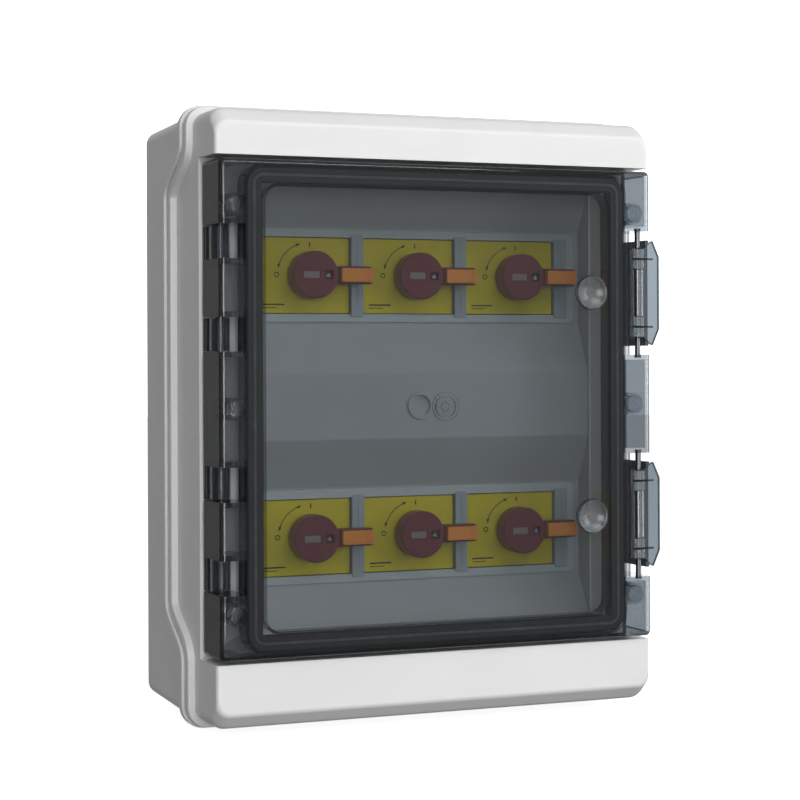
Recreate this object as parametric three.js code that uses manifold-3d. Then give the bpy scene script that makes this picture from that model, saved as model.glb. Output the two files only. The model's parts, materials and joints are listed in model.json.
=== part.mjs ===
// A wall-mounted DC combiner box: a two-row plastic enclosure with a smoked, hinged door and six
// rotary DC isolators. Millimetres. +X is to the right, +Z is up and +Y points into the wall.
// The origin is the centre of the flat back of the base, and the box stands out from it along -Y.
import * as THREE from 'three';
import { mergeVertices } from 'three/addons/utils/BufferGeometryUtils.js';
import Module from 'manifold-3d';

// ---------------------------------------------------------------- driving dimensions
const BODY_WIDTH = 276;          // side wall to side wall, without the sealing flanges
const BODY_HEIGHT = 350;
const BODY_DEPTH = 140;          // back of the base to the front of the two bands
const WALL = 3;
const CORNER_RADIUS = 8;
const BASE_DRAFT = 1.5;          // how much the base narrows to the back, on each side

const TOP_BAND = 27;             // height of the plain band above the door
const BOTTOM_BAND = 37.3;        // height of the plain band below it
const BEVEL_HEIGHT = 8.6;        // the bands' outer long edges are bevelled
const BEVEL_DEPTH = 9.3;
const FRONT_EDGE = 1.6;          // small chamfer down the front corners

const PARTING_SIDE = 78.5;       // depth of the parting line halfway down the sides
const PARTING_END = 46.5;        // depth of it across the top and bottom
const SWEEP_LENGTH = 30;         // height over which it sweeps from one to the other
const SWEEP_TOP = 47;            // distance of each sweep's inner end from the box's end
const SWEEP_BOTTOM = 65;
const COVER_FLANGE = 4;          // how far the sealing flanges stand out
const COVER_FLANGE_DEPTH = 6;
const BASE_FLANGE = 5.4;
const BASE_FLANGE_DEPTH = 6;
const SEAL_THICKNESS = 1.2;
const SEAL_WIDTH = 4.4;
const FIT = 0.3;                 // gap left between pieces that touch

const LANDING_DEPTH = 29.5;      // floor of the recess that the door shuts into
const DOOR_GAP = 2.3;            // between the door and each band
const DOOR_PROUD = 5;            // the door's face stands in front of the bands
const DOOR_INSET = 1.3;          // the door's sides stand inside the side walls
const DOOR_SKIN = 2.8;
const DOOR_WALL = 2.6;
const DOOR_SIDE_BACK = 26.5;     // depth of the back edge of the door's side walls
const DOOR_EDGE_RADIUS = 3;
const SIDE_FLANGE = 15.3;        // width of the clear flange down each side of the door

const DOOR_SEAL_WIDTH = 9;
const DOOR_SEAL_BACK = 8;
const CHANNEL_WALL = 1.8;
const CHANNEL_BACK = 10;
const CHANNEL_RADIUS = 12;
const RIB_WIDTH = 2.8;           // the rib on the cover that presses into the door's seal

const SCREW_INSET_X = 10.7;      // cover screws, measured in from the door's edges
const SCREW_INSET_Z = 25.6;
const TUBE_RADIUS = 6.6;
const TUBE_BORE = 5.2;
const TUBE_BACK = 24;
const SCREW_HEAD_RADIUS = 4.4;
const SCREW_HEAD_HEIGHT = 3.6;
const SCREW_SHANK_RADIUS = 2.2;
const SCREW_LENGTH = 66;
const POST_RADIUS = 6;

const HINGE_AXIS_IN = 7.3;       // hinge axis, measured in from the door's left edge
const HINGE_AXIS_DEPTH = 17;
const HINGE_END = 46.5;          // outer hinges, measured in from the door's ends
const HINGE_MIDDLE = 42;         // inner hinges, measured from the door's centre
const HINGE_HEIGHT = 19.5;
const KNUCKLE_RADIUS = 5;
const TRUNNION_RADIUS = 2.2;
const TRUNNION_LENGTH = 2.6;
const LUG_THICKNESS = 3;
const LUG_BACK = 24;
const PIN_CLEARANCE = 0.35;

const LATCH_OFFSET = 67;         // latches, measured from the door's centre
const LATCH_LENGTH = 64;
const LATCH_ZONE_GAP = 5.3;
const LATCH_AXIS_IN = 6.3;       // latch axis, measured in from the door's right edge
const LATCH_AXIS_DEPTH = 0;
const LATCH_PIN_RADIUS = 1.7;
const LATCH_KNUCKLE_RADIUS = 4.2;
const LATCH_END = 5;             // how far the wing's tips reach past the knuckle
const LATCH_TAB = 13;            // height of the square tab at each end of the knuckle
const LATCH_TAB_WIDTH = 7.6;
const LATCH_TAB_GROOVE = 1.2;    // the groove that crosses each tab
const LATCH_WING = 13;           // reach of the finger wing beyond the pin
const LATCH_WING_CHAMFER = 10;   // length and width of the wing's cut corners
const LATCH_WING_CORNER = 4.5;
const LATCH_WING_THICKNESS = 2.6;
const LATCH_LEG = 2.6;           // thickness of the leg that reaches back to the catch
const LATCH_LEG_OUT = 3.6;
const LATCH_NOTCH_GAP = 0.8;
const CATCH_WIDTH = 4;
const CATCH_HEIGHT = 6;
const CATCH_END_GAP = 6;

const DIMPLE_IN = 39.5;          // finger dimples, measured in from the door's right edge
const DIMPLE_RADIUS = 9.7;
const DIMPLE_DEPTH = 3.4;
const BOSS_RADIUS = 8.4;
const BOSS_HEIGHT = 1.4;

const ROW_PITCH = 154.2;
const ROW_DEPTH = 44;            // depth of the fascia round the module windows
const CREST_DEPTH = 31;
const ROW_LAND = 57;             // height of the flat land round each window
const CREST_HEIGHT = 39;
const FASCIA_WALL = 2.8;
const WINDOW_WIDTH = 208;
const WINDOW_HEIGHT = 45.4;
const RIM_WIDTH = 4.8;
const RIM_HEIGHT = 1.2;

const ISOLATORS_PER_ROW = 3;
const ISOLATOR_WIDTH = 59;
const STRIP_WIDTH = 8.4;
const FIRST_STRIP_WIDTH = 5;
const PLATE_THICKNESS = 1;
const NOSE_DEPTH = 12;
const MODULE_DEPTH = 60;         // face of the plate to the face of the rail
const MODULE_HEIGHT = 84;
const MODULE_GAP = 0.5;
const POLE_PITCH = 13;           // the isolators' cable clamps
const POLE_MOUTH = 8;

const KNOB_OFF_CENTRE = 3.2;     // the knob stands right of its plate's middle
const KNOB_RADIUS = 14;
const KNOB_HEIGHT = 8;
const LEVER_REACH = 37.5;
const LEVER_ROOT = 13.4;         // width of the lever where it leaves the disc
const LEVER_TIP = 10.4;
const LEVER_THICKNESS = 6;
const SPINDLE_RADIUS = 4;
const LOCK_HOLE = 5;
const LOCK_HOLE_FROM = 8;
const SLIDE_FROM = 15.6;         // orange locking slide, measured out from the knob's axis
const SLIDE_LENGTH = 20;
const SLIDE_WIDTH = 8.2;
const SLIDE_PROUD = 1.2;

const RAIL_LENGTH = 232;
const RAIL_WIDTH = 35;
const RAIL_HEIGHT = 7.5;
const RAIL_THICKNESS = 1;
const RAIL_LIP = 5;
const RAIL_SCREW_INSET = 8;
const RAIL_SCREW_RADIUS = 1.4;
const RAIL_SCREW_LENGTH = 12;
const RAIL_SCREW_HEAD_RADIUS = 3.8;
const RAIL_SCREW_HEAD_HEIGHT = 2.6;
const RAIL_PAD_WIDTH = 14;
const RAIL_PAD_HEIGHT = 18;

const BAR_LENGTH = 120;
const BAR_FROM_BOTTOM = 26;
const BAR_HEIGHT = 9;
const BAR_THICKNESS = 8;
const BAR_HOLE_PITCH = 8.4;
const BAR_HOLE_RADIUS = 2.2;
const BAR_HOLES_EACH_SIDE = 5;
const HOLDER_FOOT = 4;
const HOLDER_POST = 10;

const MOUNT_HOLE_X = 104;
const MOUNT_HOLE_Z = 152;
const MOUNT_HOLE_RADIUS = 3;
const KNOCKOUT_RADIUS = 12.5;
const KNOCKOUT_PITCH = 62;
const KNOCKOUT_GROOVE = 0.8;     // depth of the ring that each knock-out breaks along
const KNOCKOUT_GROOVE_WIDTH = 1.2;
const KNOCKOUT_FROM_BACK = 38;

// ---------------------------------------------------------------- places worked out from them
const FAR = 400;
const HALF_WIDTH = BODY_WIDTH / 2;
const HALF_HEIGHT = BODY_HEIGHT / 2;
const RECESS_TOP = HALF_HEIGHT - TOP_BAND;
const RECESS_BOTTOM = BOTTOM_BAND - HALF_HEIGHT;
const DOOR_TOP = RECESS_TOP - DOOR_GAP;
const DOOR_BOTTOM = RECESS_BOTTOM + DOOR_GAP;
const DOOR_CENTRE = (DOOR_TOP + DOOR_BOTTOM) / 2;
const DOOR_HALF = HALF_WIDTH - DOOR_INSET;
const DOOR_HALF_HEIGHT = (DOOR_TOP - DOOR_BOTTOM) / 2;
const CHANNEL_OUT_X = DOOR_HALF - SIDE_FLANGE;
const CHANNEL_OUT_Z = DOOR_HALF_HEIGHT - DOOR_WALL;
const PAN_HALF_WIDTH = CHANNEL_OUT_X - CHANNEL_WALL - DOOR_SEAL_WIDTH / 2 - RIB_WIDTH / 2 - 1;
const RAIL_FACE_DEPTH = ROW_DEPTH + MODULE_DEPTH;
const HINGE_X = -DOOR_HALF + HINGE_AXIS_IN;
const LATCH_X = DOOR_HALF - LATCH_AXIS_IN;

const fromFront = (depth) => depth - BODY_DEPTH;
const bothSides = [-1, 1];

// ---------------------------------------------------------------- solids
const wasm = await Module();
wasm.setup();

function solid(geometry) {
  const bare = geometry.clone();
  bare.deleteAttribute('normal');
  bare.deleteAttribute('uv');
  const merged = mergeVertices(bare, 1e-5);
  return new wasm.Manifold(new wasm.Mesh({
    numProp: 3,
    vertProperties: new Float32Array(merged.attributes.position.array),
    triVerts: new Uint32Array(merged.index.array),
  }));
}

function geometryOf(body) {
  const mesh = body.getMesh();
  const geometry = new THREE.BufferGeometry();
  geometry.setAttribute('position', new THREE.BufferAttribute(new Float32Array(mesh.vertProperties), 3));
  geometry.setIndex(new THREE.BufferAttribute(new Uint32Array(mesh.triVerts), 1));
  geometry.computeVertexNormals();
  return geometry;
}

const joined = (bodies) => bodies.reduce((sum, body) => sum.add(body));

// A block between two corners.
function block(x0, x1, y0, y1, z0, z1) {
  const box = new THREE.BoxGeometry(x1 - x0, y1 - y0, z1 - z0);
  return solid(box.translate((x0 + x1) / 2, (y0 + y1) / 2, (z0 + z1) / 2));
}

// A round bar along one axis, from one place on it to another.
function bar(axis, radius, from, to, u, v, sides = 14) {
  const rod = new THREE.CylinderGeometry(radius, radius, to - from, sides);
  const middle = (from + to) / 2;
  if (axis === 'y') return solid(rod.translate(u, middle, v));
  if (axis === 'z') return solid(rod.rotateX(Math.PI / 2).translate(u, v, middle));
  return solid(rod.rotateZ(Math.PI / 2).translate(middle, u, v));
}

function outline(points) {
  return new THREE.Shape(points.map(([a, b]) => new THREE.Vector2(a, b)));
}

function roundedOutline(x0, x1, z0, z1, radius) {
  const shape = new THREE.Shape();
  shape.absarc(x1 - radius, z1 - radius, radius, 0, Math.PI / 2);
  shape.absarc(x0 + radius, z1 - radius, radius, Math.PI / 2, Math.PI);
  shape.absarc(x0 + radius, z0 + radius, radius, Math.PI, 1.5 * Math.PI);
  shape.absarc(x1 - radius, z0 + radius, radius, 1.5 * Math.PI, 2 * Math.PI);
  return shape;
}

// An outline in X and Z, carried along Y.
function slab(shape, y0, y1, curveSegments = 4) {
  const plate = new THREE.ExtrudeGeometry(shape, { depth: y1 - y0, bevelEnabled: false, curveSegments });
  return solid(plate.rotateX(Math.PI / 2).translate(0, y1, 0));
}

// An outline in Y and Z, carried along X.
function length(shape, x0, x1) {
  const rod = new THREE.ExtrudeGeometry(shape, { depth: x1 - x0, bevelEnabled: false, curveSegments: 4 });
  return solid(rod.rotateX(Math.PI / 2).rotateZ(Math.PI / 2).translate(x0, 0, 0));
}

// An outline in X and Y, carried up Z.
function column(shape, z0, z1) {
  const post = new THREE.ExtrudeGeometry(shape, { depth: z1 - z0, bevelEnabled: false, curveSegments: 4 });
  return solid(post.translate(0, 0, z0));
}

// A skin through rounded rectangles, each { y, halfWidth, top, bottom, radius }, from front to back.
function loft(sections, steps = 3) {
  const positions = [];
  const index = [];
  for (const { y, halfWidth, top, bottom, radius } of sections) {
    const corners = [[1, 1, 0], [-1, 1, 1], [-1, -1, 2], [1, -1, 3]];
    for (const [sideX, sideZ, turn] of corners) {
      for (let step = 0; step <= steps; step += 1) {
        const angle = (turn + step / steps) * Math.PI / 2;
        const x = sideX * (halfWidth - radius) + radius * Math.cos(angle);
        const z = (sideZ > 0 ? top - radius : bottom + radius) + radius * Math.sin(angle);
        positions.push(x, y, z);
      }
    }
  }
  const ring = 4 * (steps + 1);
  for (let layer = 0; layer < sections.length - 1; layer += 1) {
    for (let i = 0; i < ring; i += 1) {
      const a = layer * ring + i;
      const b = layer * ring + (i + 1) % ring;
      index.push(a, a + ring, b, b, a + ring, b + ring);
    }
  }
  const last = (sections.length - 1) * ring;
  for (let i = 1; i < ring - 1; i += 1) {
    index.push(0, i, i + 1);
    index.push(last, last + i + 1, last + i);
  }
  const geometry = new THREE.BufferGeometry();
  geometry.setAttribute('position', new THREE.Float32BufferAttribute(positions, 3));
  geometry.setIndex(index);
  return solid(geometry);
}

// ---------------------------------------------------------------- meshes and finishes
const box = new THREE.Group();

function finish(color, roughness, metalness = 0) {
  return { color, roughness, metalness };
}
const GREY = finish(0xd9dbd8, 0.55);
const SMOKED = finish(0x4a5056, 0.1);
const BLACK_RUBBER = finish(0x17181a, 0.8);
const YELLOW = finish(0xe6d21f, 0.5);
const RED = finish(0xb3202c, 0.4);
const ORANGE = finish(0xf08a3c, 0.45);
const MODULE_GREY = finish(0xc4c8cc, 0.5);
const ZINC = finish(0xb9bec2, 0.35, 1);
const BRASS = finish(0xc9a227, 0.35, 1);
const TERMINAL_GREEN = finish(0x2f7d4f, 0.5);

function add(name, body, look, place = [0, 0, 0]) {
  const mesh = new THREE.Mesh(geometryOf(body), new THREE.MeshStandardMaterial(look));
  mesh.name = name;
  mesh.position.set(...place);
  box.add(mesh);
}

// ---------------------------------------------------------------- the parting line and shells
// Depth of the parting line at a height: deep down the sides, sweeping forward to the ends.
function partingDepth(z) {
  const sweep = z > 0 ? SWEEP_TOP : SWEEP_BOTTOM;
  const along = (Math.abs(z) - (HALF_HEIGHT - sweep)) / SWEEP_LENGTH;
  const eased = 0.5 - 0.5 * Math.cos(Math.PI * Math.min(1, Math.max(0, along)));
  return PARTING_SIDE + (PARTING_END - PARTING_SIDE) * eased;
}

function partingLine(offset) {
  const steps = 6;
  const points = [[-FAR, -FAR]];
  for (let step = 0; step <= steps; step += 1) {
    const z = SWEEP_BOTTOM - HALF_HEIGHT - SWEEP_LENGTH * (1 - step / steps);
    points.push([fromFront(partingDepth(z) + offset), z]);
  }
  for (let step = 0; step <= steps; step += 1) {
    const z = HALF_HEIGHT - SWEEP_TOP + SWEEP_LENGTH * step / steps;
    points.push([fromFront(partingDepth(z) + offset), z]);
  }
  points[0] = [points[1][0], -FAR];
  points.push([points[points.length - 1][0], FAR]);
  return points;
}

// Everything in front of the parting line, moved back by an offset.
function inFrontOfParting(offset) {
  const line = partingLine(offset);
  return length(outline([[-FAR, FAR], [-FAR, -FAR], ...line]), -FAR, FAR);
}

const betweenPartings = (near, far) => inFrontOfParting(far).subtract(inFrontOfParting(near));

// A plain rounded block round the body, grown by a margin.
function shellBlock(margin, y0, y1, radius = CORNER_RADIUS) {
  const section = {
    halfWidth: HALF_WIDTH + margin,
    top: HALF_HEIGHT + margin,
    bottom: -HALF_HEIGHT - margin,
    radius: Math.max(1, radius + margin),
  };
  return loft([{ y: y0, ...section }, { y: y1, ...section }]);
}

// The cover's outside, or its inside when inset by the wall.
function coverForm(inset) {
  const front = fromFront(inset);
  const halfWidth = HALF_WIDTH - inset;
  const radius = CORNER_RADIUS - inset / 2;
  const end = HALF_HEIGHT - inset;
  const section = (y, width, top) => ({ y, halfWidth: width, top, bottom: -top, radius });
  return loft([
    section(front, halfWidth - FRONT_EDGE, end - BEVEL_HEIGHT),
    section(front + FRONT_EDGE, halfWidth, end - BEVEL_HEIGHT * (1 - FRONT_EDGE / BEVEL_DEPTH)),
    section(front + BEVEL_DEPTH, halfWidth, end),
    section(fromFront(PARTING_SIDE + 20), halfWidth, end),
  ]);
}

// The base's outside, narrowing to the back, or its inside when inset by the wall.
function baseForm(inset, back) {
  const taper = (y) => BASE_DRAFT * (1 - y / fromFront(PARTING_SIDE));
  const section = (y, chamfer) => ({
    y,
    halfWidth: HALF_WIDTH + BASE_DRAFT / 2 - taper(y) - inset - chamfer,
    top: HALF_HEIGHT - taper(y) - inset - chamfer,
    bottom: -HALF_HEIGHT + taper(y) + inset + chamfer,
    radius: CORNER_RADIUS - inset / 2,
  });
  const edge = inset ? 0 : FRONT_EDGE;
  return loft([section(fromFront(0), 0), section(back - FRONT_EDGE, 0), section(back, edge)]);
}

// ---------------------------------------------------------------- places that repeat
const screwPlaces = [];
for (const side of bothSides) {
  for (const level of [1, 0, -1]) {
    screwPlaces.push([
      side * (DOOR_HALF - SCREW_INSET_X),
      DOOR_CENTRE + level * (DOOR_HALF_HEIGHT - SCREW_INSET_Z),
    ]);
  }
}

const hingeOut = DOOR_HALF_HEIGHT - HINGE_END;
const hingeHeights = [hingeOut, HINGE_MIDDLE, -HINGE_MIDDLE, -hingeOut].map((z) => DOOR_CENTRE + z);
const latchHeights = [LATCH_OFFSET, -LATCH_OFFSET].map((z) => DOOR_CENTRE + z);
const rowHeights = [ROW_PITCH / 2, -ROW_PITCH / 2].map((z) => DOOR_CENTRE + z);
const railScrewX = RAIL_LENGTH / 2 - RAIL_SCREW_INSET;

// ---------------------------------------------------------------- base
function makeBase() {
  const gap = SEAL_THICKNESS + 2 * FIT;
  const lip = shellBlock(BASE_FLANGE, fromFront(0), 0)
    .intersect(betweenPartings(gap, gap + BASE_FLANGE_DEPTH));
  const behind = shellBlock(BASE_FLANGE + 1, fromFront(0), 0).subtract(inFrontOfParting(gap));
  const inside = baseForm(WALL, -WALL);
  let base = baseForm(0, 0).intersect(behind).add(lip).subtract(inside);

  const extras = [];
  for (const [x, z] of screwPlaces) {
    const top = fromFront(partingDepth(z) + gap + 1);
    const outwards = x < 0 ? -1 : 1;
    const wallSide = outwards * (HALF_WIDTH - WALL / 2);
    extras.push(bar('y', POST_RADIUS, top, -WALL / 2, x, z));
    extras.push(block(Math.min(x, wallSide), Math.max(x, wallSide), top, -WALL / 2, z - 1.2, z + 1.2));
  }
  const padFront = fromFront(RAIL_FACE_DEPTH + RAIL_HEIGHT) + FIT;
  const padX = RAIL_PAD_WIDTH / 2;
  const padZ = RAIL_PAD_HEIGHT / 2;
  for (const z of rowHeights) {
    for (const x of [-railScrewX, railScrewX]) {
      extras.push(block(x - padX, x + padX, padFront, -WALL / 2, z - padZ, z + padZ));
    }
  }
  base = joined([base, ...extras]);

  const cuts = [];
  for (const [x, z] of screwPlaces) {
    const pilotEnd = fromFront(LANDING_DEPTH + SCREW_LENGTH + 2);
    cuts.push(bar('y', SCREW_SHANK_RADIUS + FIT, -FAR, pilotEnd, x, z, 10));
  }
  for (const z of rowHeights) {
    for (const x of [-railScrewX, railScrewX]) {
      cuts.push(bar('y', RAIL_SCREW_RADIUS + FIT, -FAR, -WALL * 2, x, z, 8));
    }
  }
  for (const x of [-MOUNT_HOLE_X, MOUNT_HOLE_X]) {
    for (const z of [-MOUNT_HOLE_Z, MOUNT_HOLE_Z]) {
      cuts.push(bar('y', MOUNT_HOLE_RADIUS, -WALL * 2, WALL, x, z, 12));
    }
  }
  const innerRadius = KNOCKOUT_RADIUS - KNOCKOUT_GROOVE_WIDTH;
  for (const end of bothSides) {
    const floor = end * (HALF_HEIGHT - BASE_DRAFT - KNOCKOUT_GROOVE);
    const [from, to] = [floor, floor + end * WALL * 2].sort((low, high) => low - high);
    for (const place of [-1, 0, 1]) {
      const x = place * KNOCKOUT_PITCH;
      const groove = bar('z', KNOCKOUT_RADIUS, from, to, x, -KNOCKOUT_FROM_BACK, 18)
        .subtract(bar('z', innerRadius, from - 1, to + 1, x, -KNOCKOUT_FROM_BACK, 18));
      cuts.push(groove);
    }
  }
  return base.subtract(joined(cuts));
}

// ---------------------------------------------------------------- front cover
// The fascia's section, as depths against height, with the rows deep and the crest between them.
function fasciaProfile(depthAdded, endMargin) {
  const land = ROW_LAND / 2;
  const half = CHANNEL_OUT_Z - CHANNEL_WALL - DOOR_SEAL_WIDTH / 2 - RIB_WIDTH / 2 - 1 + endMargin;
  const row = ROW_PITCH / 2;
  const edge = LANDING_DEPTH + 1.5 + depthAdded;
  const deep = ROW_DEPTH + depthAdded;
  const crest = CREST_DEPTH + depthAdded;
  const upper = [
    [edge, half],
    [deep, row + land],
    [deep, row - land],
    [crest, CREST_HEIGHT / 2],
  ];
  const lower = upper.map(([depth, z]) => [depth, -z]).reverse();
  return [...upper, ...lower].map(([depth, z]) => [fromFront(depth), DOOR_CENTRE + z]);
}

function fasciaBlock(depthAdded, halfWidth, endMargin, frontDepth) {
  const profile = fasciaProfile(depthAdded, endMargin);
  const top = profile[0][1];
  const bottom = profile[profile.length - 1][1];
  const front = fromFront(frontDepth);
  return length(outline([[front, top], [front, bottom], ...profile.reverse()]), -halfWidth, halfWidth);
}

function ringBlock(outX, outZ, width, y0, y1, radius) {
  const outer = roundedOutline(-outX, outX, DOOR_CENTRE - outZ, DOOR_CENTRE + outZ, radius);
  const hole = roundedOutline(
    -outX + width, outX - width, DOOR_CENTRE - outZ + width, DOOR_CENTRE + outZ - width,
    Math.max(1, radius - width),
  );
  return slab(outer, y0, y1).subtract(slab(hole, y0 - 1, y1 + 1));
}

function makeCover() {
  const recess = block(-FAR, FAR, -FAR, fromFront(LANDING_DEPTH), RECESS_BOTTOM, RECESS_TOP);
  const floor = block(
    -FAR, FAR, -FAR, fromFront(LANDING_DEPTH + WALL), RECESS_BOTTOM - WALL, RECESS_TOP + WALL,
  );
  const panBack = fasciaBlock(FASCIA_WALL, PAN_HALF_WIDTH + FASCIA_WALL, FASCIA_WALL, LANDING_DEPTH);
  const panFront = fasciaBlock(0, PAN_HALF_WIDTH, 0, LANDING_DEPTH - 5);
  const cavity = coverForm(WALL).subtract(floor).subtract(panBack);
  const flange = shellBlock(COVER_FLANGE, fromFront(0), fromFront(PARTING_SIDE + 2))
    .intersect(betweenPartings(-COVER_FLANGE_DEPTH, 0));
  let cover = coverForm(0).intersect(inFrontOfParting(0)).add(flange);
  cover = cover.subtract(cavity).subtract(recess).subtract(panFront);

  const ribOutX = CHANNEL_OUT_X - CHANNEL_WALL - DOOR_SEAL_WIDTH / 2 + RIB_WIDTH / 2;
  const ribOutZ = CHANNEL_OUT_Z - CHANNEL_WALL - DOOR_SEAL_WIDTH / 2 + RIB_WIDTH / 2;
  const extras = [ringBlock(
    ribOutX, ribOutZ, RIB_WIDTH,
    fromFront(DOOR_SEAL_BACK + FIT), fromFront(LANDING_DEPTH + 1), CHANNEL_RADIUS - 4,
  )];
  const rimFront = fromFront(ROW_DEPTH - RIM_HEIGHT);
  const rimBack = fromFront(ROW_DEPTH + FASCIA_WALL / 2);
  const halfWindow = WINDOW_HEIGHT / 2;
  for (const z of rowHeights) {
    const out = WINDOW_WIDTH / 2 + RIM_WIDTH;
    extras.push(slab(
      roundedOutline(-out, out, z - halfWindow - RIM_WIDTH, z + halfWindow + RIM_WIDTH, 4), rimFront, rimBack,
    ));
  }
  for (const [x, z] of screwPlaces) {
    extras.push(bar('y', POST_RADIUS, fromFront(LANDING_DEPTH + 1), fromFront(partingDepth(z) - 1), x, z));
  }
  const bossFront = fromFront(CREST_DEPTH - RIM_HEIGHT);
  extras.push(bar('y', BOSS_RADIUS, bossFront, fromFront(CREST_DEPTH + 1), 0, DOOR_CENTRE));
  for (const z of latchHeights) {
    const catchX = LATCH_X - 1;
    const half = LATCH_LENGTH / 2 - CATCH_END_GAP;
    const front = fromFront(LANDING_DEPTH - CATCH_HEIGHT);
    extras.push(block(catchX - CATCH_WIDTH, catchX, front, fromFront(LANDING_DEPTH + 1), z - half, z + half));
  }
  cover = joined([cover, ...extras]);

  const cuts = [];
  for (const z of rowHeights) {
    cuts.push(block(-WINDOW_WIDTH / 2, WINDOW_WIDTH / 2, -FAR, 0, z - halfWindow, z + halfWindow));
  }
  for (const [x, z] of screwPlaces) {
    const seat = fromFront(LANDING_DEPTH + WALL);
    cuts.push(bar('y', SCREW_HEAD_RADIUS + FIT, -FAR, seat + SCREW_HEAD_HEIGHT / 2, x, z));
    cuts.push(bar('y', SCREW_SHANK_RADIUS + FIT, -FAR, 0, x, z, 10));
  }
  cuts.push(bar('y', BOSS_RADIUS - 2.2, -FAR, 0, 0, DOOR_CENTRE));
  return cover.subtract(joined(cuts));
}

function makeCoverSeal() {
  const margin = COVER_FLANGE - 1.2;
  const outer = shellBlock(margin, fromFront(0), 0);
  const inner = shellBlock(margin - SEAL_WIDTH, fromFront(-1), 1);
  return outer.subtract(inner).intersect(betweenPartings(FIT, FIT + SEAL_THICKNESS));
}

// ---------------------------------------------------------------- door
// A cut through one side flange of the door, over the height of a hinge or a latch.
function flangeNotch(side, fromX, z, height) {
  const x0 = side < 0 ? -FAR : fromX;
  const x1 = side < 0 ? fromX : FAR;
  return block(x0, x1, -FAR, FAR, z - height / 2, z + height / 2);
}

const latchZone = LATCH_LENGTH + 2 * LATCH_ZONE_GAP;
const latchNotchX = CHANNEL_OUT_X + LATCH_NOTCH_GAP;

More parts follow.
